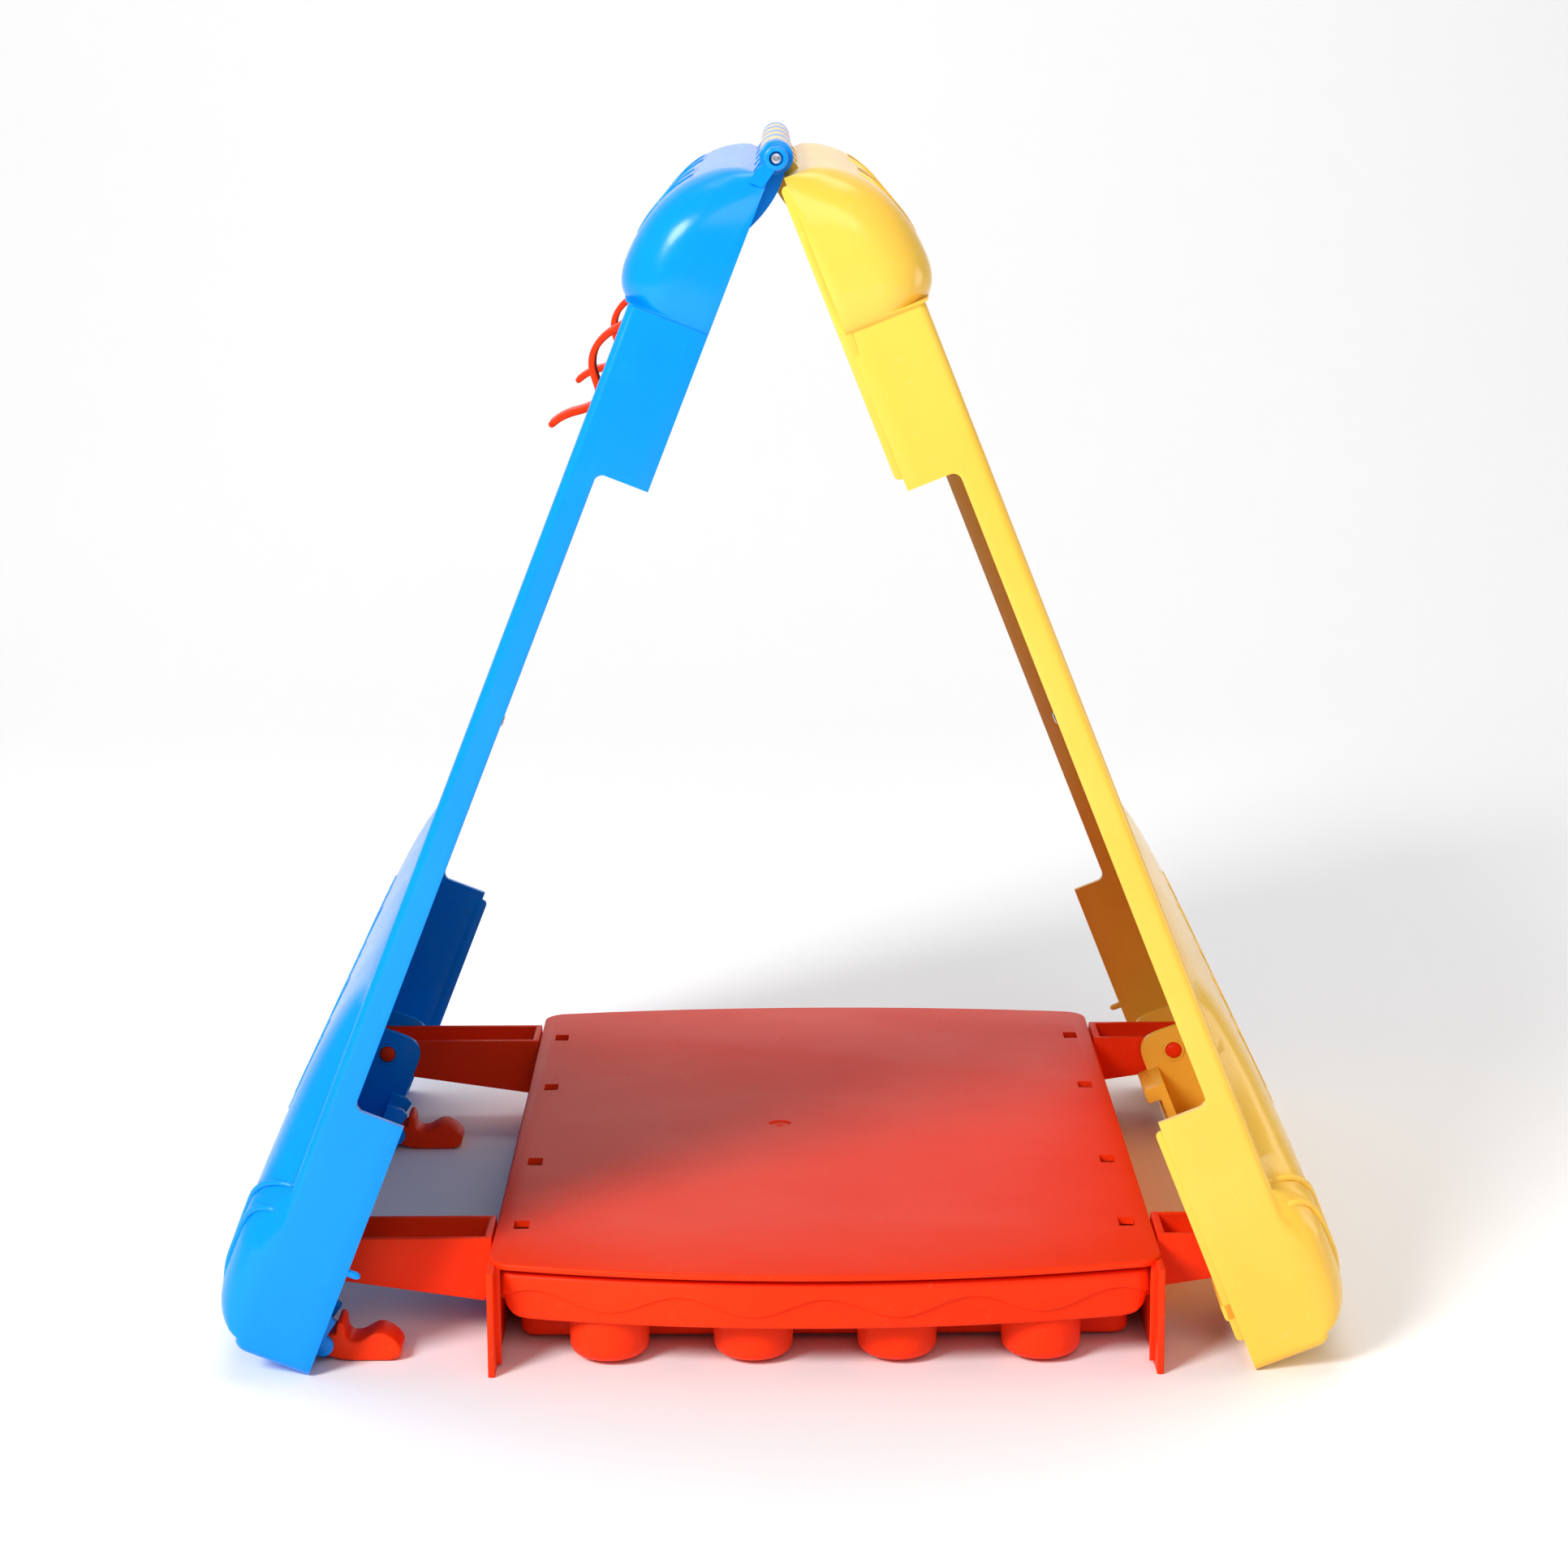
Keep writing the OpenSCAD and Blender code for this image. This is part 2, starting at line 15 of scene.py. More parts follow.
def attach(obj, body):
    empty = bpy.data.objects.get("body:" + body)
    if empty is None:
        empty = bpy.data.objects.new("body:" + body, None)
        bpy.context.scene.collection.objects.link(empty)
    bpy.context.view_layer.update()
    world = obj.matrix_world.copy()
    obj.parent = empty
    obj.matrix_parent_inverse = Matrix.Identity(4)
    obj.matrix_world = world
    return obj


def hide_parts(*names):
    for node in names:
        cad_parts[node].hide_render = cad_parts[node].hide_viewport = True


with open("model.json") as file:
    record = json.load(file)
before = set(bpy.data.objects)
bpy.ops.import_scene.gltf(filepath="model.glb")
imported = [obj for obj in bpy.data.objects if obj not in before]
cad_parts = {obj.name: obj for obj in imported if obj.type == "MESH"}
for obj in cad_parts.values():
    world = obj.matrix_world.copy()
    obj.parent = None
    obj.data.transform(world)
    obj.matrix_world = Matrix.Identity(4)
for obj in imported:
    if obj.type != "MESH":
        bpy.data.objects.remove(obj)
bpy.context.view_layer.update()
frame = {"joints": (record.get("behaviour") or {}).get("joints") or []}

MM = 0.001
BLUE, YELLOW = -1, 1
NEAR, FAR = -1, 1
SIDES = (NEAR, FAR)
NAME = {BLUE: "blue", YELLOW: "yellow"}
SIDE_NAME = {NEAR: "near", FAR: "far"}
JOINT = {j["name"]: j for j in frame["joints"]}

# Driving sizes of the case, in millimetres
LEAN = math.radians(21.6)
HINGE_Z = JOINT["case_hinge"]["pos_m"][2] / MM
SHELL_LEN = 430.0
HALF_W = 171.0
PLAIN_V = 27.0
WALL = 2.4
HEAD_V = 33.0
HEAD_TOP_U = 47.0
HEAD_END_U = 59.0
HEAD_SIDE = 2.4
RIM_START = 6.6
FOOT_U = 392.0
FOOT_UP = 94.0
FOOT_DOWN = 33.5
FOOT_RISE = 12.0
NOTCH_U = (112.0, 337.0)
NOTCH_R = 3.0
NOTCH_V = {(BLUE, NEAR): 17.3, (BLUE, FAR): 18.8, (YELLOW, NEAR): 17.3, (YELLOW, FAR): 13.5}
BOARD_U = (75.0, 301.0)
BOARD_HALF = 153.0
BOARD_V = (21.5, 24.5)
BOARD_LAP = 8.0
KNUCKLES = 9
KNUCKLE_R = 5.4
BOSS_R = 3.8
BOSS_W = 9.0
ROD_R = 2.1
PIVOT_U, PIVOT_V = 400.0, 14.0
ARM_IN, ARM_W = 113.0, 25.0
ARM_DROP, ARM_SLOPE = 9.2, 0.15
EAR_Y = (ARM_IN - 3.2, ARM_IN + ARM_W + 0.6)
EAR_T = 2.6
LATCH_U, LATCH_V = 422.5, -1.1
LATCH_W = 14.0
LATCH_Y = {NEAR: -149.0, FAR: 92.0}
CLIP_U, CLIP_Y, CLIP_W = 68.0, 85.0, 12.0

# Driving sizes of the table and its drawer
TABLE_X, TABLE_Y = 14.55, -5.0
TABLE_HALF = 112.65
TABLE_LEN = 322.0
TABLE_H = 37.4
PLATE_T = 2.4
BOW = {NEAR: 12.0, FAR: 8.0}
CORNER_R = 10.0
SLOT_X, SLOT_Y = 104.0, (-120.6, -48.3, 48.3, 120.6)
SLOT_W, SLOT_L = 5.4, 8.8
DRAWER_TOP = 33.0
DRAWER_WALL = 1.8
DRAWER_IN = 3.1
APRON_LOW = 17.0
CUP_R, CUP_PITCH, CUP_Y = 14.5, 48.6, -151.0
BASIN_Y, BASIN_LEN = -137.9, 74.0


# ---------------------------------------------------------------- drawing helpers


def shell_place(hand):
    """Matrix from shell millimetres (u, y, v) to the object's metres."""
    s, c = math.sin(LEAN) * MM, math.cos(LEAN) * MM
    return Matrix(((hand * s, 0, hand * c, 0), (0, MM, 0, 0), (-c, 0, s, HINGE_Z * MM), (0, 0, 0, 1)))


def object_place(x=0.0, y=0.0, z=0.0, flip_x=1, flip_y=1):
    """Matrix from millimetres about a point to the object's metres, mirrored on request."""
    flip = Matrix.Diagonal((flip_x * MM, flip_y * MM, MM, 1))
    return Matrix.Translation((x * MM, y * MM, z * MM)) @ flip


def box_outline(a0, a1, b0, b1):
    return [(a0, b0), (a1, b0), (a1, b1), (a0, b1)]


def rounded(points, radius, steps=5):
    """A closed outline with its corners rounded. radius is one number or one for each corner."""
    out = []
    count = len(points)
    radii = radius if isinstance(radius, (list, tuple)) else [radius] * count
    for i, r in enumerate(radii):
        corner = Vector(points[i])
        back = Vector(points[i - 1]) - corner
        ahead = Vector(points[(i + 1) % count]) - corner
        if r <= 0:
            out.append(tuple(corner))
            continue
        reach = min(r / math.tan(back.angle(ahead) / 2), 0.49 * back.length, 0.49 * ahead.length)
        start, end = corner + back.normalized() * reach, corner + ahead.normalized() * reach
        for k in range(steps + 1):
            t = k / steps
            out.append(tuple(start * (1 - t) ** 2 + corner * 2 * t * (1 - t) + end * t * t))
    return out


def smooth_path(points, steps=6):
    """A Catmull-Rom curve through the points."""
    pts = [Vector(p) for p in points]
    pts = [2 * pts[0] - pts[1]] + pts + [2 * pts[-1] - pts[-2]]
    out = []
    for a, b, c, d in zip(pts, pts[1:], pts[2:], pts[3:]):
        for k in range(steps):
            t = k / steps
            bend = (2 * a - 5 * b + 4 * c - d) * t**2 + (3 * b - a - 3 * c + d) * t**3
            out.append(0.5 * (2 * b + (c - a) * t + bend))
    return [tuple(p) for p in out] + [tuple(pts[-2])]


def ribbon(path, thick, tip_steps=5):
    """Outline of a strip of that thickness along a 2D path, with round ends."""
    pts = [Vector(p) for p in path]
    normals = []
    for i in range(len(pts)):
        along = (pts[min(i + 1, len(pts) - 1)] - pts[max(i - 1, 0)]).normalized()
        normals.append(Vector((-along.y, along.x)))
    left = [tuple(p + n * thick / 2) for p, n in zip(pts, normals)]
    right = [tuple(p - n * thick / 2) for p, n in zip(pts, normals)]
    tips = []
    for p, n, way in ((pts[-1], normals[-1], 1), (pts[0], normals[0], -1)):
        along = Vector((n.y, -n.x)) * way
        tips.append([tuple(p + (n * way * math.cos(a) + along * math.sin(a)) * thick / 2)
                     for a in (math.pi * k / tip_steps for k in range(1, tip_steps))])
    return left + tips[0] + right[::-1] + tips[1]


def loft(loops):
    """A closed mesh through loops of equal length, with flat ends."""
    n = len(loops[0])
    verts = [tuple(p) for loop in loops for p in loop]
    faces = [(i * n + j, i * n + (j + 1) % n, (i + 1) * n + (j + 1) % n, (i + 1) * n + j)
             for i in range(len(loops) - 1) for j in range(n)]
    last = (len(loops) - 1) * n
    return verts, faces + [tuple(range(n))[::-1], tuple(range(last, last + n))]


def ring_loft(loops):
    """A closed mesh through loops that come back to the first one."""
    n, m = len(loops[0]), len(loops)
    verts = [tuple(p) for loop in loops for p in loop]
    return verts, [(i * n + j, i * n + (j + 1) % n, (i + 1) % m * n + (j + 1) % n, (i + 1) % m * n + j)
                   for i in range(m) for j in range(n)]


def slab(outline, y0, y1):
    """An outline in the plane of the first and third coordinates, given depth along y."""
    return loft([[(a, y, b) for a, b in outline] for y in (y0, y1)])


def plate(outline, z0, z1):
    """An outline in plan, given height."""
    return loft([[(a, b, z) for a, b in outline] for z in (z0, z1)])


def lathe(profile, centre=(0, 0, 0), axis="z", steps=48):
    """A closed profile of (radius, height) turned about an axis through the centre."""
    loops = []
    for k in range(steps):
        a = 2 * math.pi * k / steps
        c, s = math.cos(a), math.sin(a)
        point = {"z": lambda r, h: (r * c, r * s, h), "y": lambda r, h: (r * c, h, r * s)}[axis]
        loops.append([tuple(Vector(point(r, h)) + Vector(centre)) for r, h in profile])
    return ring_loft(loops)


def joined(*shapes):
    """Several shapes as one."""
    verts, faces = [], []
    for v, f in shapes:
        base = len(verts)
        verts += v
        faces += [tuple(i + base for i in face) for face in f]
    return verts, faces


def mesh_object(name, shape, place):
    mesh = bpy.data.meshes.new(name)
    verts, faces = shape
    mesh.from_pydata([place @ Vector(v) for v in verts], [], faces)
    work = bmesh.new()
    work.from_mesh(mesh)
    bmesh.ops.remove_doubles(work, verts=work.verts, dist=2e-6)
    bmesh.ops.dissolve_degenerate(work, edges=work.edges, dist=1e-6)
    bmesh.ops.recalc_face_normals(work, faces=work.faces)
    work.to_mesh(mesh)
    work.free()
    thing = bpy.data.objects.new(name, mesh)
    bpy.context.scene.collection.objects.link(thing)
    return thing


def apply_modifiers(thing):
    bpy.context.view_layer.update()
    graph = bpy.context.evaluated_depsgraph_get()
    mesh = bpy.data.meshes.new_from_object(thing.evaluated_get(graph))
    thing.modifiers.clear()
    thing.data = mesh
    return thing


def cut_away(thing, *cutters, operation="DIFFERENCE"):
    for cutter in cutters:
        modifier = thing.modifiers.new("cut", "BOOLEAN")
        modifier.operation = operation
        modifier.solver = "EXACT"
        modifier.object = cutter
    apply_modifiers(thing)
    for cutter in cutters:
        bpy.data.objects.remove(cutter)
    return thing


def soften(thing, width, segments=2, angle=40):
    """Rounds the edges sharper than the angle."""
    modifier = thing.modifiers.new("soften", "BEVEL")
    modifier.width = width * MM
    modifier.segments = segments
    modifier.limit_method = "ANGLE"
    modifier.angle_limit = math.radians(angle)
    modifier.use_clamp_overlap = True
    return apply_modifiers(thing)


def finish_piece(thing, body, material, slot, replaces=(), crease=32):
    """Smooth shading with crisp creases, its material, its body and what it stands for."""
    mesh = thing.data
    mesh.polygons.foreach_set("use_smooth", [True] * len(mesh.polygons))
    mesh.set_sharp_from_angle(angle=math.radians(crease))
    mesh.materials.clear()
    mesh.materials.append(material)
    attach(thing, body)
    if replaces:
        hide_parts(*replaces)
    return thing


# ---------------------------------------------------------------- materials


class Nodes:
    """A new material and short calls that wire its nodes."""

    def __init__(self, name):
        self.material = bpy.data.materials.new(name)
        self.material.use_nodes = True
        self.tree = self.material.node_tree
        self.shader = self.tree.nodes["Principled BSDF"]
        self.place = self.add("ShaderNodeTexCoord").outputs["Object"]

    def add(self, kind, **values):
        node = self.tree.nodes.new(kind)
        for key, value in values.items():
            setattr(node, key, value)
        return node

    def link(self, start, end):
        self.tree.links.new(start, end)

    def noise(self, scale, detail=3.0, rough=0.5, stretch=None):
        node = self.add("ShaderNodeTexNoise")
        node.inputs["Scale"].default_value = scale
        node.inputs["Detail"].default_value = detail
        node.inputs["Roughness"].default_value = rough
        start = self.place
        if stretch:
            mapping = self.add("ShaderNodeMapping")
            mapping.inputs["Scale"].default_value = stretch
            self.link(start, mapping.inputs["Vector"])
            start = mapping.outputs["Vector"]
        self.link(start, node.inputs["Vector"])
        return node.outputs["Fac"]

    def ramp(self, value, low, high, out_low=0.0, out_high=1.0):
        node = self.add("ShaderNodeMapRange")
        limits = {"From Min": low, "From Max": high, "To Min": out_low, "To Max": out_high}
        for key, number in limits.items():
            node.inputs[key].default_value = number
        self.link(value, node.inputs["Value"])
        return node.outputs["Result"]

    def mix(self, factor, first, second):
        node = self.add("ShaderNodeMix", data_type="RGBA")
        for key, value in (("Factor", factor), ("A", first), ("B", second)):
            socket = node.inputs[key]
            if isinstance(value, bpy.types.NodeSocket):
                self.link(value, socket)
            else:
                socket.default_value = (*value, 1)
        return node.outputs["Result"]

    def bump(self, layers):
        """Stacks bumps from (height, strength, distance in metres)."""
        previous = None
        for height, strength, distance in layers:
            node = self.add("ShaderNodeBump")
            node.inputs["Strength"].default_value = strength
            node.inputs["Distance"].default_value = distance
            self.link(height, node.inputs["Height"])
            if previous:
                self.link(previous, node.inputs["Normal"])
            previous = node.outputs["Normal"]
        self.link(previous, self.shader.inputs["Normal"])

    def set(self, **values):
        for key, value in values.items():
            self.shader.inputs[key.replace("_", " ")].default_value = value


def moulded_plastic(name, colour, light, deep, rough, shine):
    """Injection moulded plastic: cloudy pigment, orange peel, fine handling scratches."""
    n = Nodes(name)
    cloud = n.noise(14.0, 3.0)
    tint = n.mix(n.ramp(cloud, 0.3, 0.7), colour, deep)
    fleck = n.noise(420.0, 2.0)
    tint = n.mix(n.ramp(fleck, 0.62, 0.82, 0.0, 0.35), tint, light)
    scratch_a = n.noise(38.0, 4.0, 0.6, (9.0, 1.0, 1.4))
    scratch_b = n.noise(31.0, 4.0, 0.6, (1.2, 8.0, 1.0))
    marks = n.ramp(scratch_a, 0.66, 0.74)
    tint = n.mix(n.ramp(scratch_b, 0.68, 0.78, 0.0, 0.3), tint, light)
    n.link(tint, n.shader.inputs["Base Color"])
    rough_mix = n.add("ShaderNodeMath", operation="ADD")
    n.link(n.ramp(cloud, 0.2, 0.8, rough - 0.05, rough + 0.05), rough_mix.inputs[0])
    n.link(n.ramp(marks, 0.0, 1.0, 0.0, 0.12), rough_mix.inputs[1])
    n.link(rough_mix.outputs[0], n.shader.inputs["Roughness"])
    n.bump([(n.noise(650.0, 2.0), 0.10, 0.0003), (n.noise(46.0, 2.0), 0.12, 0.0008), (marks, 0.05, 0.0002)])
    n.set(IOR=1.5, Specular_IOR_Level=shine)
    n.set(Subsurface_Weight=0.06, Subsurface_Radius=(0.006, 0.004, 0.003), Subsurface_Scale=0.5)
    return n.material


def drawn_steel(name):
    n = Nodes(name)
    grain = n.noise(180.0, 5.0, 0.65, (1.0, 0.06, 1.0))
    n.link(n.mix(grain, (0.50, 0.51, 0.53), (0.74, 0.74, 0.75)), n.shader.inputs["Base Color"])
    n.link(n.ramp(grain, 0.2, 0.8, 0.18, 0.38), n.shader.inputs["Roughness"])
    n.bump([(grain, 0.12, 0.0002)])
    n.set(Metallic=1.0)
    return n.material


def blackboard_paint(name):
    n = Nodes(name)
    dust = n.noise(22.0, 6.0, 0.7, (1.0, 2.5, 1.0))
    wiped = n.noise(6.0, 3.0, 0.5, (3.0, 1.0, 1.0))
    base = n.mix(n.ramp(dust, 0.35, 0.85, 0.0, 0.5), (0.018, 0.032, 0.028), (0.10, 0.12, 0.115))
    tint = n.mix(n.ramp(wiped, 0.5, 0.8, 0.0, 0.3), base, (0.09, 0.11, 0.105))
    n.link(tint, n.shader.inputs["Base Color"])
    n.link(n.ramp(dust, 0.2, 0.8, 0.62, 0.85), n.shader.inputs["Roughness"])
    n.bump([(n.noise(1400.0, 2.0), 0.25, 0.0003)])
    return n.material


def white_coating(name):
    n = Nodes(name)
    haze = n.noise(18.0, 5.0, 0.6)
    wiped = n.noise(24.0, 4.0, 0.6, (1.0, 6.0, 1.0))
    base = n.mix(n.ramp(haze, 0.3, 0.8, 0.0, 1.0), (0.90, 0.89, 0.90), (0.82, 0.80, 0.82))
    tint = n.mix(n.ramp(wiped, 0.62, 0.8, 0.0, 0.3), base, (0.70, 0.72, 0.80))
    n.link(tint, n.shader.inputs["Base Color"])
    n.link(n.ramp(haze, 0.2, 0.8, 0.10, 0.22), n.shader.inputs["Roughness"])
    n.bump([(n.noise(260.0, 2.0), 0.05, 0.0003)])
    return n.material


blue_plastic = moulded_plastic(
    "blue_plastic", colour=(0.001, 0.295, 0.97), light=(0.01, 0.36, 1.0), deep=(0.001, 0.27, 0.94),
    rough=0.21, shine=0.22)
yellow_plastic = moulded_plastic(
    "yellow_plastic", colour=(0.99, 0.61, 0.08), light=(1.0, 0.70, 0.18), deep=(0.98, 0.56, 0.055),
    rough=0.23, shine=0.4)
red_plastic = moulded_plastic(
    "red_plastic", colour=(1.0, 0.045, 0.006), light=(1.0, 0.10, 0.04), deep=(0.95, 0.035, 0.004),
    rough=0.42, shine=0.1)
steel = drawn_steel("drawn_steel")
chalk_paint = blackboard_paint("blackboard_paint")
whiteboard_coat = white_coating("whiteboard_coat")
CASE = {BLUE: (blue_plastic, "blue_plastic"), YELLOW: (yellow_plastic, "yellow_plastic")}
CASE_BODY = {BLUE: "blue_case", YELLOW: "yellow_case"}


# ---------------------------------------------------------------- case shells


def smoothstep(x, low, high):
    t = min(1.0, max(0.0, (x - low) / (high - low)))
    return t * t * (3 - 2 * t)


def ell(t, power=2.0):
    """Height of a unit superellipse at t."""
    return max(0.0, 1 - min(1.0, abs(t)) ** power) ** (1 / power)


def crown(u):
    """Height of the shell's outer face along its middle, without the foot pocket."""
    if u < HEAD_TOP_U:
        return HEAD_V * ell((u - HEAD_TOP_U) / (HEAD_TOP_U - 5.4), 2.1)
    if u < HEAD_END_U:
        drop = HEAD_V - PLAIN_V + 1
        return PLAIN_V - 1 + drop * ell((u - HEAD_TOP_U) / (HEAD_END_U - HEAD_TOP_U))
    return PLAIN_V


def pocket(u, y):
    """Extra height of the foot pocket."""
    along = ell((u - FOOT_U) / FOOT_UP) if u < FOOT_U else ell((u - FOOT_U) / FOOT_DOWN, 3.2)
    flush = smoothstep(u, 366, 388)
    edge = 161 + (HALF_W - 161) * flush
    soft = 20 - 4 * flush
    return FOOT_RISE * along * ell(max(0.0, (abs(y) - edge + soft) / soft))


def half_width(u):
    """Half the width of a shell. The head stands out a little and tucks back in at its end."""
    dip = 1.6
    valley = dip * (1 - smoothstep(u, HEAD_END_U - 4, HEAD_END_U + 32))
    if u < HEAD_END_U:
        tuck = ell((u - 42) / (HEAD_END_U - 42)) if u > 42 else ell((u - 42) / 60)
        return HALF_W - dip + (HEAD_SIDE + dip) * tuck
    return HALF_W - valley


def head_taper(u, height):
    """How far a side wall leans in near the hinge, at a height from 0 at the rim to 1 at the top."""
    near_hinge = max(0.0, 1 - u / 34)
    return near_hinge ** 2 * (5 + 9 * height)


def edge_round(u):
    """Radius of the edge between a side wall and the outer face."""
    return 17.0 if u < HEAD_END_U - 1 else 3.0


TOP_COLUMNS = [1.5, 3.5, 6, 9, 12, 15, 19, 24, 30, 38, 50, 68, 95, 130]
JUMP = 0.04


def rim_level(u, hand, side):
    """Height of the rim: 0, or higher along the side cut-out, whose inner corners are round."""
    inside = min(u - NOTCH_U[0], NOTCH_U[1] - u)
    if inside < JUMP / 2:
        return 0.0
    drop = math.sqrt(NOTCH_R * NOTCH_R - max(0.0, NOTCH_R - inside) ** 2)
    return NOTCH_V[hand, side] - NOTCH_R + drop


def half_section(u, inset, hand, side):
    """Points (y, v) of one side of a shell's section, from the rim to the middle."""
    corner = 4.0
    late = max(0.0, u - (SHELL_LEN - corner)) / corner
    shrink = corner * (1 - math.sqrt(max(0.0, 1 - late * late)))
    w = half_width(u) - shrink
    v_top = max(0.6, crown(u) - shrink)
    r = min(edge_round(u), 0.85 * v_top)
    base = rim_level(u, hand, side)
    points = [(w - inset, base + (v_top - r - base) * k / 4) for k in range(4)]
    r_in = max(r - inset, 0.3)
    for k in range(9):
        a = math.pi / 16 * k
        points.append((w - inset - r_in * (1 - math.cos(a)), v_top - r + (r - inset) * math.sin(a)))
    run = w - inset - r_in
    points += [(run * (1 - d / HALF_W), v_top - inset) for d in TOP_COLUMNS]
    if u < HEAD_TOP_U:
        points = [(y * (1 - head_taper(u, v / v_top) / w), v) for y, v in points]
    points = [(y, v + (pocket(u, y + inset) if v > 12 else 0)) for y, v in points]
    return points + [(0.0, v_top - inset + pocket(u, 0))]


def section(u, inset, hand):
    near = half_section(u, inset, hand, NEAR)
    far = half_section(u, inset, hand, FAR)
    return [(u, -y, v) for y, v in near] + [(u, y, v) for y, v in far[-2::-1]]


def shell_rows():
    rows = [RIM_START + d for d in (0, 0.5, 1.2, WALL, 3.6, 5.5, 8)]
    rows += [RIM_START + 11 + 3.4 * k for k in range(9)]
    rows += [HEAD_TOP_U + (HEAD_END_U - HEAD_TOP_U) * math.sin(math.pi / 20 * k) for k in range(11)]
    rows += [HEAD_END_U + d for d in (0.4, 0.9, 1.5, 2.2, 3, 4, 10, 20)] + [100 + 22 * k for k in range(9)]
    for end, way in ((NOTCH_U[0], 1), (NOTCH_U[1], -1)):
        rows += [end, end + way * JUMP]
        rows += [end + way * (NOTCH_R - NOTCH_R * math.cos(math.pi / 12 * k)) for k in range(1, 7)]
    rows += [FOOT_U - FOOT_UP * math.cos(math.pi / 2 * (k / 18) ** 1.2) for k in range(18)]
    rows += [FOOT_U + FOOT_DOWN * math.sin(math.pi / 28 * k) for k in range(14)]
    rows += [SHELL_LEN - WALL] + [SHELL_LEN - 4 + 4 * math.sin(math.pi / 12 * k) for k in range(7)]
    rows = sorted(rows)
    return [r for i, r in enumerate(rows) if i == 0 or r - rows[i - 1] > JUMP / 2]


def shell_shape(hand):
    """A thin tray: outer and inner skins, rims, and a wall across each end."""
    rows = shell_rows()
    first, last = (min(range(len(rows)), key=lambda i: abs(rows[i] - u))
                   for u in (RIM_START + WALL, SHELL_LEN - WALL))
    outer = [section(u, 0, hand) for u in rows]
    inner = [section(u, WALL, hand) for u in rows[first:last + 1]]
    m = len(outer[0])
    verts = [p for row in outer + inner for p in row]

    def o(i, j):
        return i * m + j % m

    def n(i, j):
        return (len(outer) + i - first) * m + j % m

    faces = [(o(i, j), o(i, j + 1), o(i + 1, j + 1), o(i + 1, j))
             for i in range(len(rows) - 1) for j in range(m - 1)]
    for i in range(first, last):
        faces += [(n(i, j), n(i + 1, j), n(i + 1, j + 1), n(i, j + 1)) for j in range(m - 1)]
        faces.append((o(i, 0), o(i + 1, 0), n(i + 1, 0), n(i, 0)))
        faces.append((o(i, -1), n(i, -1), n(i + 1, -1), o(i + 1, -1)))
    for edge, stop in ((0, first), (len(rows) - 1, last)):
        way = 1 if stop > edge else -1
        run = range(edge, stop + way, way)
        faces.append([o(edge, j) for j in range(m)])
        faces.append([n(stop, j) for j in range(m)])
        faces.append([o(i, 0) for i in run] + [n(stop, 0), n(stop, -1)] + [o(i, -1) for i in reversed(run)])
    return verts, faces


def shell_skin(hand):
    place = shell_place(hand)
    skin = mesh_object(f"{NAME[hand]}_shell_skin", shell_shape(hand), place)
    low, high = BOARD_U[0] + BOARD_LAP, BOARD_U[1] - BOARD_LAP
    wide = BOARD_HALF - BOARD_LAP
    window = rounded(box_outline(low, high, -wide, wide), 5, 6)
    cutters = [mesh_object("window", plate(window, PLAIN_V - WALL - 1.5, PLAIN_V + 6), place)]
    if hand == BLUE:
        for side in SIDES:
            y0, y1 = side * CLIP_Y - CLIP_W / 2 - 0.7, side * CLIP_Y + CLIP_W / 2 + 0.7
            seat = rounded(box_outline(CLIP_U - 2.7, CLIP_U + 7.6, y0, y1), 1)
            cutters.append(mesh_object("clip_seat", plate(seat, PLAIN_V - WALL - 1.5, PLAIN_V + 3), place))
    cut_away(skin, *cutters)
    soften(skin, 0.4, 2, 50)
    material, slot = CASE[hand]
    return finish_piece(skin, CASE_BODY[hand], material, slot, [f"{NAME[hand]}_shell"])


for hand in (BLUE, YELLOW):
    shell_skin(hand)

# ---------------------------------------------------------------- hinge, ears and other shell fittings


def case_piece(name, shape, hand, bevel=0.35, **extra):
    """A piece of a case shell's own plastic."""
    thing = mesh_object(f"{NAME[hand]}_{name}", shape, shell_place(hand))
    if bevel:
        soften(thing, bevel)
    material, slot = CASE[hand]
    return finish_piece(thing, CASE_BODY[hand], material, slot, **extra)


def barrel(y0, y1, radius, bore, round_over=0.7):
    """A hinge knuckle: a tube about the hinge with rounded ends."""
    q = round_over
    ends = [(radius - q, 0), (radius - 0.3 * q, 0.3 * q), (radius, q)]
    profile = [(bore, y0)] + [(r, y0 + d) for r, d in ends]
    profile += [(r, y1 - d) for r, d in ends[::-1]] + [(bore, y1)]
    return lathe(profile, axis="y")


def knuckle_ends(i):
    pitch = 2 * (HALF_W - BOSS_W) / KNUCKLES
    low = -HALF_W + BOSS_W + i * pitch
    return low + 0.35, low + pitch - 0.35


def hinge_knuckles(hand):
    leaf = smooth_path([(0.5, -3.4), (5, -4.3), (11, -4.1), (18, -2.4), (25, 0.5)], 5)
    leaf += [(25, 3), (10, 6), (3, 4.4)]
    shapes = []
    for i in range(0 if hand == BLUE else 1, KNUCKLES, 2):
        y0, y1 = knuckle_ends(i)
        shapes += [barrel(y0, y1, KNUCKLE_R, ROD_R + 0.1), slab(leaf, y0 + 0.4, y1 - 0.4)]
    if hand == BLUE:
        neck = rounded([(2.4, -1.2), (10, 0.6), (10, 5.5), (4.6, 4.2), (2.4, 2.6)], 0.6, 3)
        for side in SIDES:
            y0, y1 = sorted((side * HALF_W, side * (HALF_W - BOSS_W)))
            shapes += [barrel(y0, y1, BOSS_R, ROD_R + 0.12, 0.8), slab(neck, y0 + 0.5, y1 - 0.5)]
    case_piece("hinge_knuckles", joined(*shapes), hand, 0)


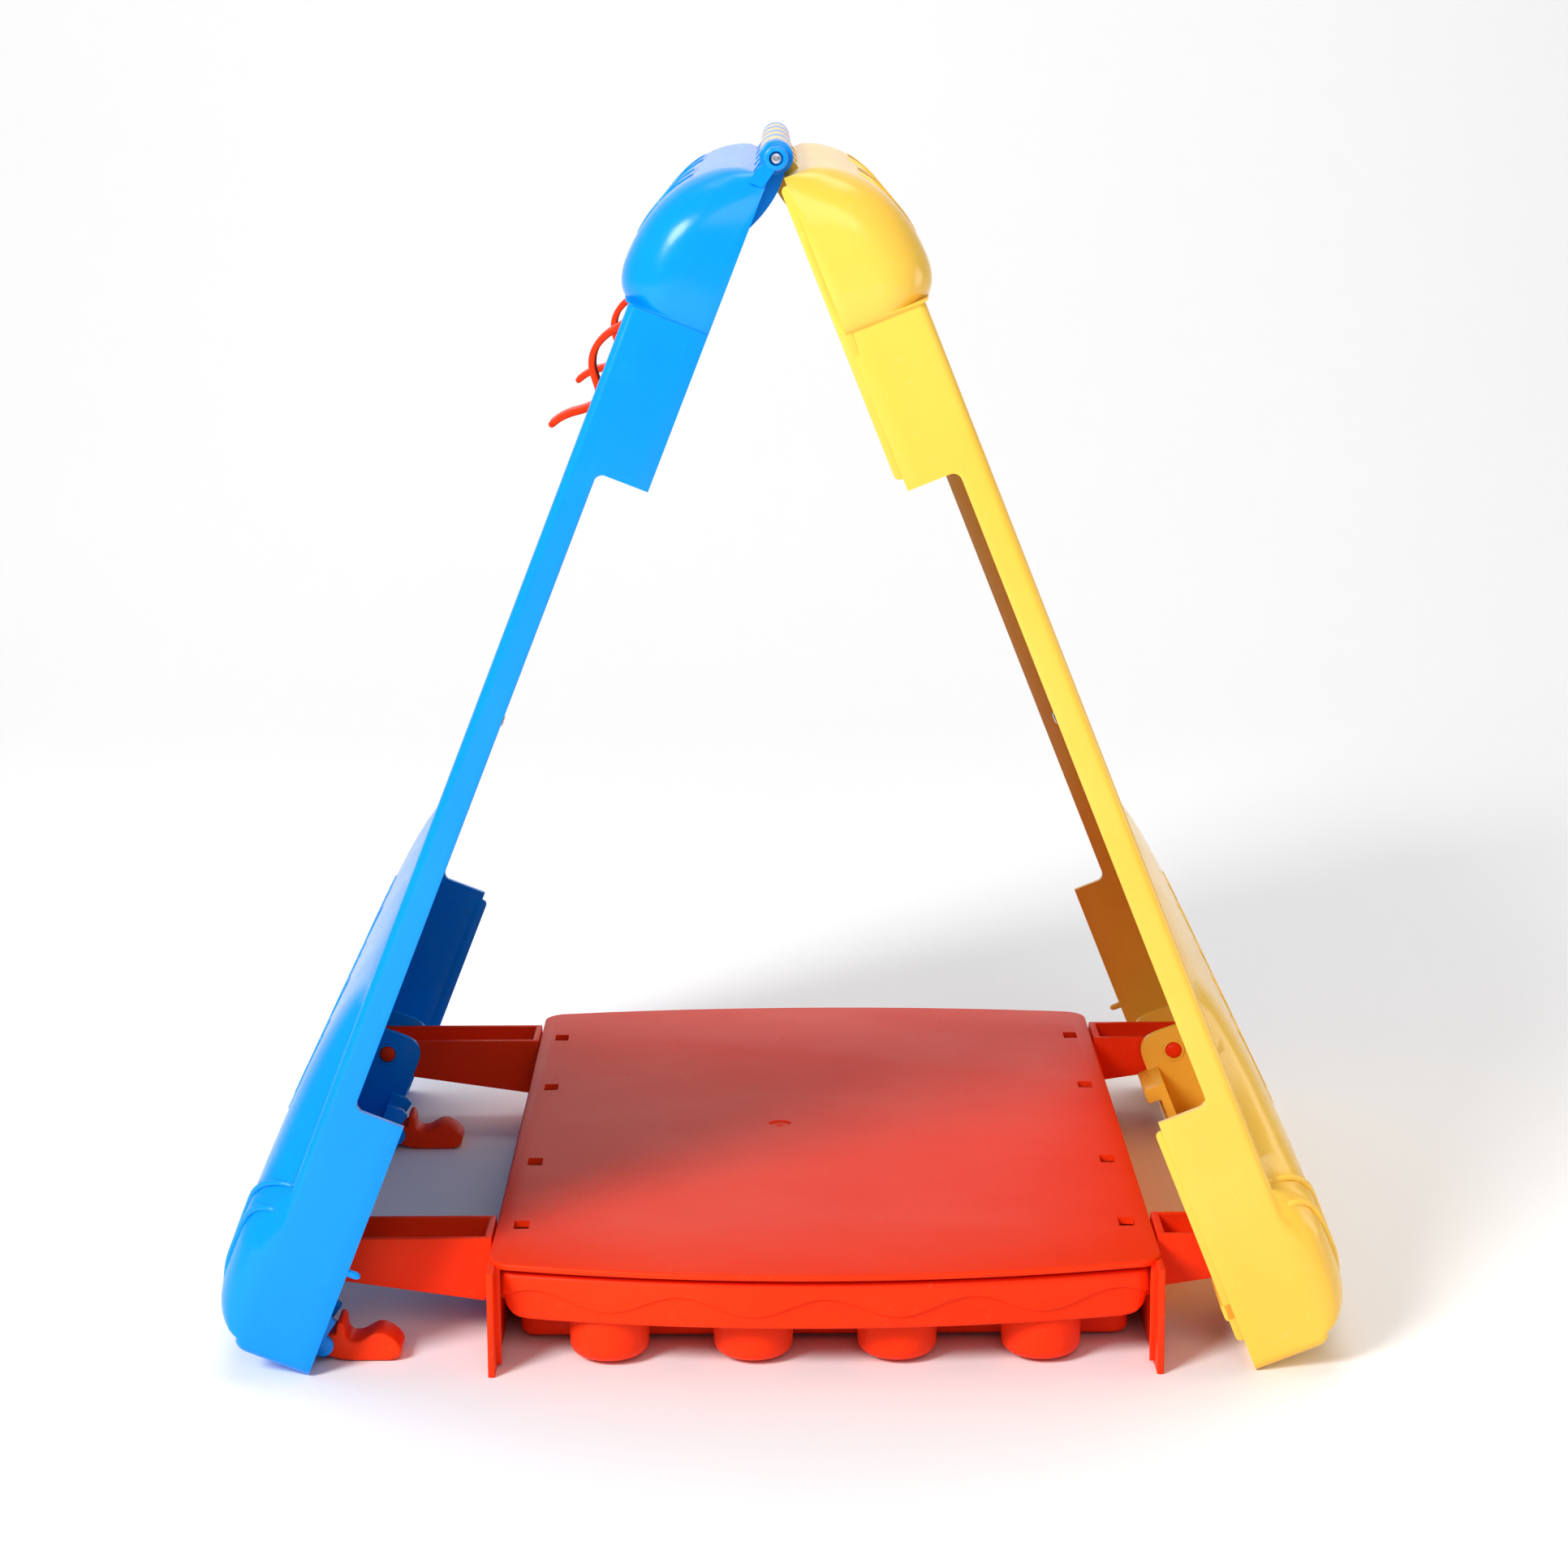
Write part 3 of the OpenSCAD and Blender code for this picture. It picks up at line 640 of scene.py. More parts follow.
def arm_ears(hand):
    """Plates with a rounded corner, one on each side of an arm, that hold its pin."""
    top = [(391, 36.4), (406, 36.4), (414, 35), (421, 30), (426, 22), (428.6, 16)]
    outline = rounded([(390, 1), (428.6, 1)] + top[::-1], [9, 1, 0, 0, 0, 0, 0, 0], 8)
    shapes = []
    for side in SIDES:
        for y in EAR_Y:
            y0, y1 = sorted((side * y, side * (y + EAR_T)))
            shapes.append(slab(outline, y0, y1))
    case_piece("arm_ears", joined(*shapes), hand)


def ear_bosses(hand):
    """Raised rings about the bores of the ears."""
    shapes = []
    for side in SIDES:
        for y in EAR_Y:
            y0, y1 = sorted((side * y, side * (y + EAR_T)))
            shapes.append(barrel(y0 - 0.5, y1 + 0.5, 4.6, 3.5, 0.4))
    moved = [([(u + PIVOT_U, y, v + PIVOT_V) for u, y, v in verts], faces) for verts, faces in shapes]
    case_piece("ear_bosses", joined(*moved), hand, 0)


def at_board_posts():
    return [(u, side * (BOARD_HALF + 4.4)) for u in (BOARD_U[0] + 38, BOARD_U[1] - 38) for side in SIDES]


def board_posts(hand):
    shapes = []
    for u, y in at_board_posts():
        profile = [(1.5, 21.8), (3.3, 21.8), (3.6, 22.1), (4.0, 24.9), (1.5, 24.9)]
        shapes.append(lathe(profile, (u, y, 0)))
    case_piece("board_posts", joined(*shapes), hand, 0)


def tray_ribs(hand):
    """Low ribs on the inside of the shell that stiffen the head and frame the board."""
    lines = []
    for u in (BOARD_U[0] - 3.4, BOARD_U[1] + 2.2):
        lines.append(slab(box_outline(u, u + 1.2, 20.2, 25.2), -BOARD_HALF - 1, BOARD_HALF + 1))
    for side in SIDES:
        y0, y1 = sorted((side * (BOARD_HALF + 0.8), side * (BOARD_HALF + 1.9)))
        lines.append(slab(box_outline(BOARD_U[0] + 46, BOARD_U[1] - 46, 20.2, 25.2), y0, y1))
    case_piece("tray_ribs", joined(*lines), hand, 0.25)


def latch_lugs():
    shapes = []
    for y in LATCH_Y.values():
        for low in (y - LATCH_W / 2 - 2.9, y + LATCH_W / 2 + 0.5):
            outline = [(LATCH_U - 11, 6.6), (LATCH_U - 11, 0.4), (LATCH_U - 9.6, -2.4)]
            outline += [(LATCH_U + 3.6 * math.sin(a), LATCH_V - 3.6 * math.cos(a))
                        for a in (math.pi / 12 * k for k in range(-6, 7))]
            outline += [(LATCH_U + 3.8, 0.4), (SHELL_LEN - 1.2, 0.4), (SHELL_LEN - 1.2, 6.6)]
            shapes.append(slab(outline, low, low + 2.4))
    case_piece("latch_lugs", joined(*shapes), BLUE)


def rim_peg(hand, side):
    profile = [(0, 1.0), (1.3, 1.0), (1.3, -2.6), (1.12, -3.6), (0.65, -4.2), (0, -4.4)]
    case_piece("rim_peg", lathe(profile, (391, side * (HALF_W - 1.4), 0), steps=24), hand, 0)


def rim_lip(hand, side):
    """The thin lip that stands proud of one side's rim and goes inside the other shell."""
    shapes = []
    y0, y1 = sorted((side * (HALF_W - WALL + 1.2), side * (HALF_W - WALL - 0.1)))
    for u0, u1 in ((9, NOTCH_U[0] - 4), (NOTCH_U[1] + 3, SHELL_LEN - 12)):
        outline = rounded([(u0, 2), (u0, -2.4), (u1, -2.4), (u1, 2)], [0, 2.2, 2.8, 0])
        shapes.append(slab(outline, y0, y1))
    case_piece("rim_lip", joined(*shapes), hand, 0.3)


def latch_keepers():
    shapes = []
    hook = [(404, -3.4), (410, -3.4), (410, 2), (420, 2), (420, 5.6), (404, 5.6)]
    hook = rounded(hook, [1.4, 1.4, 1, 1, 1, 0.5])
    for y0, y1 in ((LATCH_Y[FAR] - 7, ARM_IN - 1.9), (-HALF_W + 1.2, LATCH_Y[NEAR] + 7)):
        shapes.append(slab(hook, y0, y1))
    case_piece("latch_keepers", joined(*shapes), YELLOW)


def tube(path, radius, sides=8):
    """A round bead along a 3D path, with its ends closed."""
    loops = []
    pts = [Vector(p) for p in path]
    for i, p in enumerate(pts):
        along = (pts[min(i + 1, len(pts) - 1)] - pts[max(i - 1, 0)]).normalized()
        across = along.cross(Vector((0, 0, 1))).normalized()
        up = across.cross(along)
        r = radius * (0.35 if i in (0, len(pts) - 1) else 1)
        loops.append([tuple(p + (across * math.cos(a) + up * math.sin(a)) * r)
                      for a in (2 * math.pi * k / sides for k in range(sides))])
    return loft(loops)


def on_pocket(u, y, lift):
    return (u, y, PLAIN_V + pocket(u, y) + lift)


def pocket_relief(hand):
    """Raised beads on the foot pocket: two arcs about each lower corner, rings and stars between."""
    shapes = []
    for side in SIDES:
        for up, across in ((39.0, 22.0), (29.0, 13.5)):
            arc = [(408 - up * math.cos(a), side * (HALF_W - across * math.sin(a)))
                   for a in (math.radians(12 + 3 * k) for k in range(27))]
            arc += [(408 + 2.5 * k, side * (HALF_W - across)) for k in range(1, 6)]
            shapes.append(tube([on_pocket(u, y, -1.6 * smoothstep(u, 403, 418)) for u, y in arc], 1.1, 10))
    for index, y in enumerate((-112, -56, 0, 56, 112)):
        u = 346
        if index % 2:
            turns = [2 * math.pi * k / 40 for k in range(41)]
            outline = [(u + 17 * math.cos(a), y + 17 * math.sin(a)) for a in turns]
        else:
            corners = []
            for k in range(10):
                r = 20 if k % 2 == 0 else 8.5
                corners.append((u + r * math.cos(math.pi / 5 * k), y + r * math.sin(math.pi / 5 * k)))
            outline = rounded(corners, 2.2, 3)
            outline.append(outline[0])
        shapes.append(tube([on_pocket(a, b, 0.05) for a, b in outline], 0.55, 6))
    case_piece("pocket_relief", joined(*shapes), hand, 0, crease=60)


def head_relief(hand):
    """Two long rings in a thin bead along the top of the head."""
    shapes = []
    for y0, y1 in ((-128, -44), (44, 128)):
        ring = rounded(box_outline(16, 40, y0, y1), 11, 8)
        ring.append(ring[0])
        shapes.append(tube([(u, y, crown(u) + 0.05) for u, y in ring], 0.6, 6))
    case_piece("head_relief", joined(*shapes), hand, 0, crease=60)


for hand in (BLUE, YELLOW):
    hinge_knuckles(hand)
    arm_ears(hand)
    ear_bosses(hand)
    board_posts(hand)
    tray_ribs(hand)
    pocket_relief(hand)
    head_relief(hand)
latch_lugs()
for hand, side in ((BLUE, NEAR), (YELLOW, FAR)):
    rim_peg(hand, side)
    rim_lip(hand, -side)
latch_keepers()


def hinge_rod():
    end = HALF_W - 0.6
    dome = [(0, end - 0.35), (0.5, end - 0.3), (0.8, end), (1.5, end - 0.1)]
    dome += [(1.95, end - 0.5), (ROD_R, end - 1.1)]
    profile = dome + [(r, -y) for r, y in dome[::-1]]
    thing = mesh_object("steel_hinge_rod", lathe(profile, axis="y", steps=40), object_place(0, 0, HINGE_Z))
    finish_piece(thing, "blue_case", steel, "steel", ["hinge_rod"])


hinge_rod()


# ---------------------------------------------------------------- boards and their fixings


def drawing_board(hand, node, material, slot):
    outline = rounded(box_outline(*BOARD_U, -BOARD_HALF, BOARD_HALF), 4, 6)
    thing = mesh_object(f"{node}_panel", plate(outline, *BOARD_V), shell_place(hand))
    soften(thing, 0.35)
    finish_piece(thing, CASE_BODY[hand], material, slot, [node])


def board_fixings(hand, node):
    low = BOARD_V[0] - 1.5
    washer = [(1.7, low), (1.7, low + 1.4), (6.6, low + 1.4), (7, low + 1.0), (6.6, low + 0.2), (5.6, low)]
    shape = joined(*[lathe(washer, (u, y, 0)) for u, y in at_board_posts()])
    washers = mesh_object(f"{node}_washer_set", shape, shell_place(hand))
    finish_piece(washers, CASE_BODY[hand], red_plastic, "red_plastic", [f"{node}_washers"])
    head = low - 1.9
    screw = [(0, head + 0.15), (1.6, head), (2.6, head + 0.45), (3, head + 1.1), (3, head + 1.8)]
    screw += [(1.4, head + 1.8), (1.4, low + 3.6), (0, low + 3.9)]
    shape = joined(*[lathe(screw, (u, y, 0), steps=32) for u, y in at_board_posts()])
    screws = mesh_object(f"{node}_screw_set", shape, shell_place(hand))
    slots = []
    for u, y in at_board_posts():
        for du, dy in ((2.0, 0.35), (0.35, 2.0)):
            cross = box_outline(u - du, u + du, y - dy, y + dy)
            slots.append(mesh_object("slot", plate(cross, head - 1, head + 0.9), shell_place(hand)))
    cut_away(screws, *slots)
    finish_piece(screws, CASE_BODY[hand], steel, "steel", [f"{node}_screws"])


drawing_board(BLUE, "chalkboard", chalk_paint, "chalk_surface")
drawing_board(YELLOW, "whiteboard", whiteboard_coat, "white_surface")
board_fixings(BLUE, "chalkboard")
board_fixings(YELLOW, "whiteboard")


# ---------------------------------------------------------------- arms


def red_piece(name, shape, place, body, replaces=(), bevel=0.35, crease=32):
    thing = mesh_object(name, shape, place)
    if bevel:
        soften(thing, bevel)
    return finish_piece(thing, body, red_plastic, "red_plastic", replaces, crease)


def arm_outline(reach, inset):
    """Side view of an arm about its pivot. Its end face is an arc, so that it clears the table."""
    top = 4.36 if inset == 0 else 8.0
    drop, hub = ARM_DROP - inset, 6.0
    r = reach - inset
    stretch = r * math.sqrt(1 + ARM_SLOPE * ARM_SLOPE)
    low_angle = math.asin(-drop / stretch) - math.atan(ARM_SLOPE)
    high_angle = math.asin(top / r)
    arc = [(r * math.cos(a), r * math.sin(a))
           for a in (low_angle + (high_angle - low_angle) * k / 10 for k in range(11))]
    back = hub if inset == 0 else hub + 4
    return arc + [(-back, top), (-back, 5 - drop), (-2, 0.6 - drop), (4, -drop - ARM_SLOPE * 4)]


def spreader_arm(hand, side):
    joint = JOINT[f"{NAME[hand]}_{SIDE_NAME[side]}_arm_fold"]
    x, z = joint["pos_m"][0] / MM, joint["pos_m"][2] / MM
    reach = abs(x) - TABLE_HALF - 0.6 + (TABLE_X if hand == BLUE else -TABLE_X)
    place = object_place(x, 0, z, flip_x=-hand, flip_y=side)
    arm = mesh_object(f"{NAME[hand]}_{SIDE_NAME[side]}_spreader_arm",
                      slab(arm_outline(reach, 0), ARM_IN, ARM_IN + ARM_W), place)
    inside = mesh_object("inside", slab(arm_outline(reach, 2.4), ARM_IN + 2.4, ARM_IN + ARM_W - 2.4), place)
    cut_away(arm, inside)
    soften(arm, 0.5, 3)
    node = f"{NAME[hand]}_arm_{SIDE_NAME[side]}"
    body = f"{NAME[hand]}_{SIDE_NAME[side]}_arm"
    finish_piece(arm, body, red_plastic, "red_plastic", [node])
    ribs = []
    for d in (0.34, 0.66):
        u = d * reach
        floor = 2.0 - ARM_DROP - ARM_SLOPE * u
        ribs.append(slab(box_outline(u, u + 1.4, floor, floor + 7.5), ARM_IN + 2, ARM_IN + ARM_W - 2))
    red_piece(f"{node}_ribs", joined(*ribs), place, body, bevel=0.3)


def arm_pins(hand):
    """Round pins with domed heads on the inner side of each ear."""
    joint = JOINT[f"{NAME[hand]}_near_arm_fold"]
    inner, outer = EAR_Y[0], ARM_IN + ARM_W + 4.0
    profile = [(0, inner - 1.8), (1.2, inner - 1.7), (2.3, inner - 1.35), (3.0, inner - 0.8)]
    profile += [(3.25, inner - 0.06), (2.2, inner - 0.05), (2.2, outer - 0.4), (1.8, outer), (0, outer)]
    x, z = joint["pos_m"][0] / MM, joint["pos_m"][2] / MM
    shapes = [lathe([(r, side * y) for r, y in profile], (x, 0, z), "y", 40) for side in SIDES]
    red_piece(f"{NAME[hand]}_arm_pin_set", joined(*shapes), object_place(), CASE_BODY[hand],
              [f"{NAME[hand]}_arm_pins"], bevel=0)


for hand in (BLUE, YELLOW):
    for side in SIDES:
        spreader_arm(hand, side)
    arm_pins(hand)


# ---------------------------------------------------------------- table


def end_outline(inset, side, turn=72):
    """One end of the table in plan, from one side wall to the other round its bowed front."""
    r, chord, bow = CORNER_R - inset, TABLE_HALF - CORNER_R, BOW[side]
    big = (chord * chord + bow * bow) / (2 * bow)
    edge = TABLE_Y + side * TABLE_LEN / 2
    corner = [(math.radians(turn * k / 8)) for k in range(9)]
    first = [(-chord - r * math.cos(a), r * math.sin(a) - CORNER_R) for a in corner]
    across = [chord * (k / 30 - 1) for k in range(61)]
    front = [(x, bow - big + math.sqrt((big - inset) ** 2 - x * x)) for x in across]
    last = [(-x, y) for x, y in first[::-1]]
    return [(TABLE_X + side * x, edge + side * y) for x, y in first + front + last]


def table_plan(inset):
    return end_outline(inset, FAR) + end_outline(inset, NEAR)


def table_top():
    slots = []
    top = mesh_object("table_plate", plate(table_plan(0), TABLE_H - PLATE_T, TABLE_H), object_place())
    soften(top, 0.8, 3)
    for way in (-1, 1):
        for y in SLOT_Y:
            x0, y0 = TABLE_X + way * SLOT_X - SLOT_W / 2, TABLE_Y + 2 + y - SLOT_L / 2
            hole = rounded(box_outline(x0, x0 + SLOT_W, y0, y0 + SLOT_L), 0.6, 3)
            slots.append(mesh_object("slot", plate(hole, TABLE_H - 4, TABLE_H + 2), object_place()))
    gate = [(0, 1), (0, -0.15), (0.9, -0.15), (1.3, -0.6), (3.8, -0.6), (4.2, -0.2), (4.4, 1)]
    gate = lathe([(r, TABLE_H + h) for r, h in gate], (TABLE_X - 15, TABLE_Y, 0))
    slots.append(mesh_object("gate", gate, object_place()))
    cut_away(top, *slots)
    finish_piece(top, "table", red_plastic, "red_plastic", ["table_top"], crease=38)


def table_walls():
    """Side walls with their drawer rails, the far wall and the ribs under the plate."""
    inside = TABLE_HALF - PLATE_T
    near, far = TABLE_Y - TABLE_LEN / 2, TABLE_Y + TABLE_LEN / 2
    shapes = []
    for way in (-1, 1):
        def box(x0, x1, y0, y1, z0, z1, r=0.6):
            xs = sorted((TABLE_X + way * x0, TABLE_X + way * x1))
            shapes.append(plate(rounded(box_outline(*xs, y0, y1), r, 3), z0, z1))
        box(inside, TABLE_HALF - 0.05, near - 6, far - 4, 0, TABLE_H - 1)
        box(inside - 5, inside + 1, near + 8, far - 8, 28.6, 30.6)
        box(inside - 5, inside - 3.4, near + 8, far - 8, 20.6, 29.6)
        box(inside - 1.6, inside + 0.5, near + 3.4, near + 5, 1.2, TABLE_H - 2)
    left, right = TABLE_X - inside, TABLE_X + inside
    far_wall = rounded(box_outline(left, right, far - 8, far - 5.6), 0.5, 3)
    shapes.append(plate(far_wall, 10, TABLE_H - 1.4))
    for x in (TABLE_X - 60, TABLE_X, TABLE_X + 60):
        shapes.append(plate(box_outline(x - 0.8, x + 0.8, -55, far - 7), 31, TABLE_H - 2))
    for y in (-40, 20, 80):
        shapes.append(plate(box_outline(left + 1, right - 1, y - 0.8, y + 0.8), 31.4, TABLE_H - 2))
    red_piece("table_walls", joined(*shapes), object_place(), "table", bevel=0.4)


table_top()
table_walls()


# ---------------------------------------------------------------- drawer


def wave(x):
    """Height of the wavy step in the drawer's front. It dips above each cup."""
    return 24.5 + 3.2 * math.cos(2 * math.pi * (x - TABLE_X) / CUP_PITCH)


def drawer_front():
    """The drawer's bowed front, proud above the wave and rounded at its lower corners."""
    path = end_outline(DRAWER_IN + 0.9, NEAR, 72)
    back = TABLE_Y - TABLE_LEN / 2 + 15
    path = [(path[0][0], back)] + path + [(path[-1][0], back)]
    loops = []
    for i, (x, y) in enumerate(path):
        before, after = Vector(path[max(i - 1, 0)]), Vector(path[min(i + 1, len(path) - 1)])
        along = (after - before).normalized()
        out = Vector((along.y, -along.x))
        if out.y > 0.2:
            out = -out
        w = wave(x)
        low = APRON_LOW + 7.5 * (1 - ell(max(0.0, 1 - min(abs(x - path[0][0]), abs(x - path[-1][0])) / 9)))
        ring = [(-2.4, 31.5), (-2.4, low + 0.5), (-2.0, low), (-1.2, low), (-0.7, low + 0.5)]
        ring += [(-0.6, low + 1.4), (0, w - 0.6), (0.1, w - 0.3), (1.0, w + 0.2), (1.15, w + 0.7)]
        ring += [(0.8, 31.4), (0.62, 32.3), (0.1, 32.85), (-0.6, DRAWER_TOP), (-2.4, DRAWER_TOP)]
        loops.append([(x + out.x * d, y + out.y * d, z) for d, z in ring])
    red_piece("drawer_front", loft(loops), object_place(), "drawer", bevel=0, crease=40)


def at_cups():
    return [TABLE_X + i * CUP_PITCH for i in (-1.5, -0.5, 0.5, 1.5)]


def basin_rect(inset):
    half = TABLE_HALF - PLATE_T - 6.2 - inset
    y0, y1 = BASIN_Y + inset, BASIN_Y + BASIN_LEN - inset
    return rounded(box_outline(TABLE_X - half, TABLE_X + half, y0, y1), max(6 - inset, 1), 6)


def drawer_deck():
    near_end = end_outline(DRAWER_IN + 1.2, NEAR)
    back = BASIN_Y + BASIN_LEN + 3
    outline = near_end + [(near_end[-1][0], back), (near_end[0][0], back)]
    deck = mesh_object("drawer_deck", plate(outline, DRAWER_TOP - 2, DRAWER_TOP), object_place())
    bore = box_outline(0, CUP_R - DRAWER_WALL, 25, 40)
    cutters = [mesh_object("hole", lathe(bore, (x, CUP_Y, 0)), object_place()) for x in at_cups()]
    cutters.append(mesh_object("hole", plate(basin_rect(DRAWER_WALL), 25, 40), object_place()))
    cut_away(deck, *cutters)
    soften(deck, 0.5)
    finish_piece(deck, "drawer", red_plastic, "red_plastic", ["cup_drawer"])


def drawer_cups():
    shapes = []
    low, taper, corner, skin = 1.6, 1.2, 4.0, DRAWER_WALL
    for x in at_cups():
        arc = [math.radians(-90 + 15 * k) for k in range(7)]
        r = CUP_R - taper - corner
        outer = [(0, low)] + [(r + corner * math.cos(a), low + corner + corner * math.sin(a)) for a in arc]
        small = corner - skin
        inner = [(r + small * math.cos(a), low + corner + small * math.sin(a)) for a in arc[::-1]]
        inner.append((0, low + skin))
        profile = outer + [(CUP_R - 0.1, DRAWER_TOP - 1), (CUP_R - skin, DRAWER_TOP - 0.2)] + inner
        shapes.append(lathe(profile, (x, CUP_Y, 0), steps=56))
    red_piece("drawer_cups", joined(*shapes), object_place(), "drawer", bevel=0, crease=50)


def drawer_basin():
    low, floor = 1.8, 3.6
    levels = [(4, low), (1.2, low + 0.5), (0.2, low + 1.8), (0, low + 4), (0, DRAWER_TOP - 0.6)]
    levels += [(DRAWER_WALL, DRAWER_TOP - 0.3), (DRAWER_WALL, floor + 3), (2.4, floor + 1), (4.2, floor)]
    loops = [[(x, y, z) for x, y in basin_rect(inset)] for inset, z in levels]
    red_piece("drawer_basin", loft(loops), object_place(), "drawer", bevel=0, crease=50)


drawer_front()
drawer_deck()
drawer_cups()
drawer_basin()


# ---------------------------------------------------------------- latches and clips


def latch_lever(side):
    """A lever with a scooped finger end, hollow underneath."""
    long = 26.0
    back = [(long - 0.3, -4.4), (long, -2.6), (long - 0.8, -0.6), (long - 3, 1.7), (long - 6, 3.3)]
    back += [(long - 8.6, 3.4), (long - 11, 2.2), (long - 13.4, 0.9), (long - 16, 0.5), (8.6, 0.9)]
    lug = [(7.4, 2.4), (7.0, 6.2), (5.8, 7.5), (4.5, 6.4), (4.1, 3.2)]
    outline = smooth_path(back, 4) + smooth_path(lug, 4)
    for k in range(7):
        a = math.radians(70 + 20 * k)
        outline.append((2.2 * math.cos(a), 2.9 * math.sin(a)))
    outline += [(-1.6, -2.9), (2, -4.7), (6, -5.9), (11, -6.2), (long - 4, -6.2), (long - 1.6, -5.6)]
    name = SIDE_NAME[side]
    x, y, z = (value / MM for value in JOINT[f"{name}_latch_swing"]["pos_m"])
    place = object_place(x, y, z)
    lever = mesh_object(f"{name}_latch_lever", slab(outline, -LATCH_W / 2, LATCH_W / 2), place)
    scoop = [(6.4, -2.6), (9, -1.8), (long - 15, -1.4), (long - 11, 0.1), (long - 8, 1.2), (long - 5.4, 0.3)]
    scoop += [(long - 3.4, -1.6), (long - 2.8, -4)]
    hollow = smooth_path(scoop, 3) + [(long - 2.8, -9), (6, -9)]
    inside = mesh_object("inside", slab(hollow, -LATCH_W / 2 + 1.6, LATCH_W / 2 - 1.6), place)
    cut_away(lever, inside)
    soften(lever, 0.8, 3, 50)
    finish_piece(lever, f"{name}_latch", red_plastic, "red_plastic", [f"latch_{name}"], 45)


def paper_clip(side):
    """A springy strip that arches away from the board, dips to hold the paper and flares up."""
    path = [(0.4, 0.0), (1.2, 0.1), (2.8, 0.7), (5.5, 2.4), (9, 5.1), (13, 6.9), (17, 7.3), (21, 6.2)]
    path += [(24.4, 3.8), (27.5, 1.4), (30.6, 0.6), (33.6, 1.5), (36, 4), (38.4, 7.2), (41.2, 10)]
    path.append((44.2, 11.9))
    strip = slab(ribbon(smooth_path(path, 4), 2.3), -CLIP_W / 2, CLIP_W / 2)
    hub = barrel(-CLIP_W / 2, CLIP_W / 2, 1.9, 0.76, 0.3)
    name = SIDE_NAME[side]
    pivot = Vector(JOINT[f"{name}_clip_flex"]["pos_m"])
    place = Matrix.Translation(pivot) @ shell_place(BLUE).to_3x3().to_4x4()
    clip = mesh_object(f"{name}_paper_clip", strip, place)
    soften(clip, 0.5, 3, 50)
    finish_piece(clip, f"{name}_clip", red_plastic, "red_plastic", [f"clip_{name}"], 45)
    red_piece(f"{name}_clip_hub", hub, place, f"{name}_clip", bevel=0)


def small_pins():
    """Steel pins of the latches and the clips, with rounded ends."""
    latch, clip = ("latch_pins", "latch_swing", 1.0, 9.6), ("clip_pins", "clip_flex", 0.7, 9.0)
    for node, joint, radius, half in (latch, clip):
        centres = [JOINT[f"{SIDE_NAME[side]}_{joint}"]["pos_m"] for side in SIDES]
        tip = [(0, half), (radius * 0.6, half - 0.08), (radius, half - 0.4)]
        profile = tip + [(r, -y) for r, y in tip[::-1]]
        shapes = [lathe(profile, [c / MM for c in centre], "y", 24) for centre in centres]
        thing = mesh_object(f"{node}_set", joined(*shapes), object_place())
        finish_piece(thing, "blue_case", steel, "steel", [node])


for side in SIDES:
    latch_lever(side)
    paper_clip(side)
small_pins()


# ---------------------------------------------------------------- stage, lights and camera


def floor_material():
    n = Nodes("studio_floor")
    tint = n.mix(n.noise(3.0, 2.0), (0.985, 0.98, 0.985), (0.97, 0.965, 0.97))
    n.link(tint, n.shader.inputs["Base Color"])
    n.set(Roughness=0.75, IOR=1.3)
    return n.material


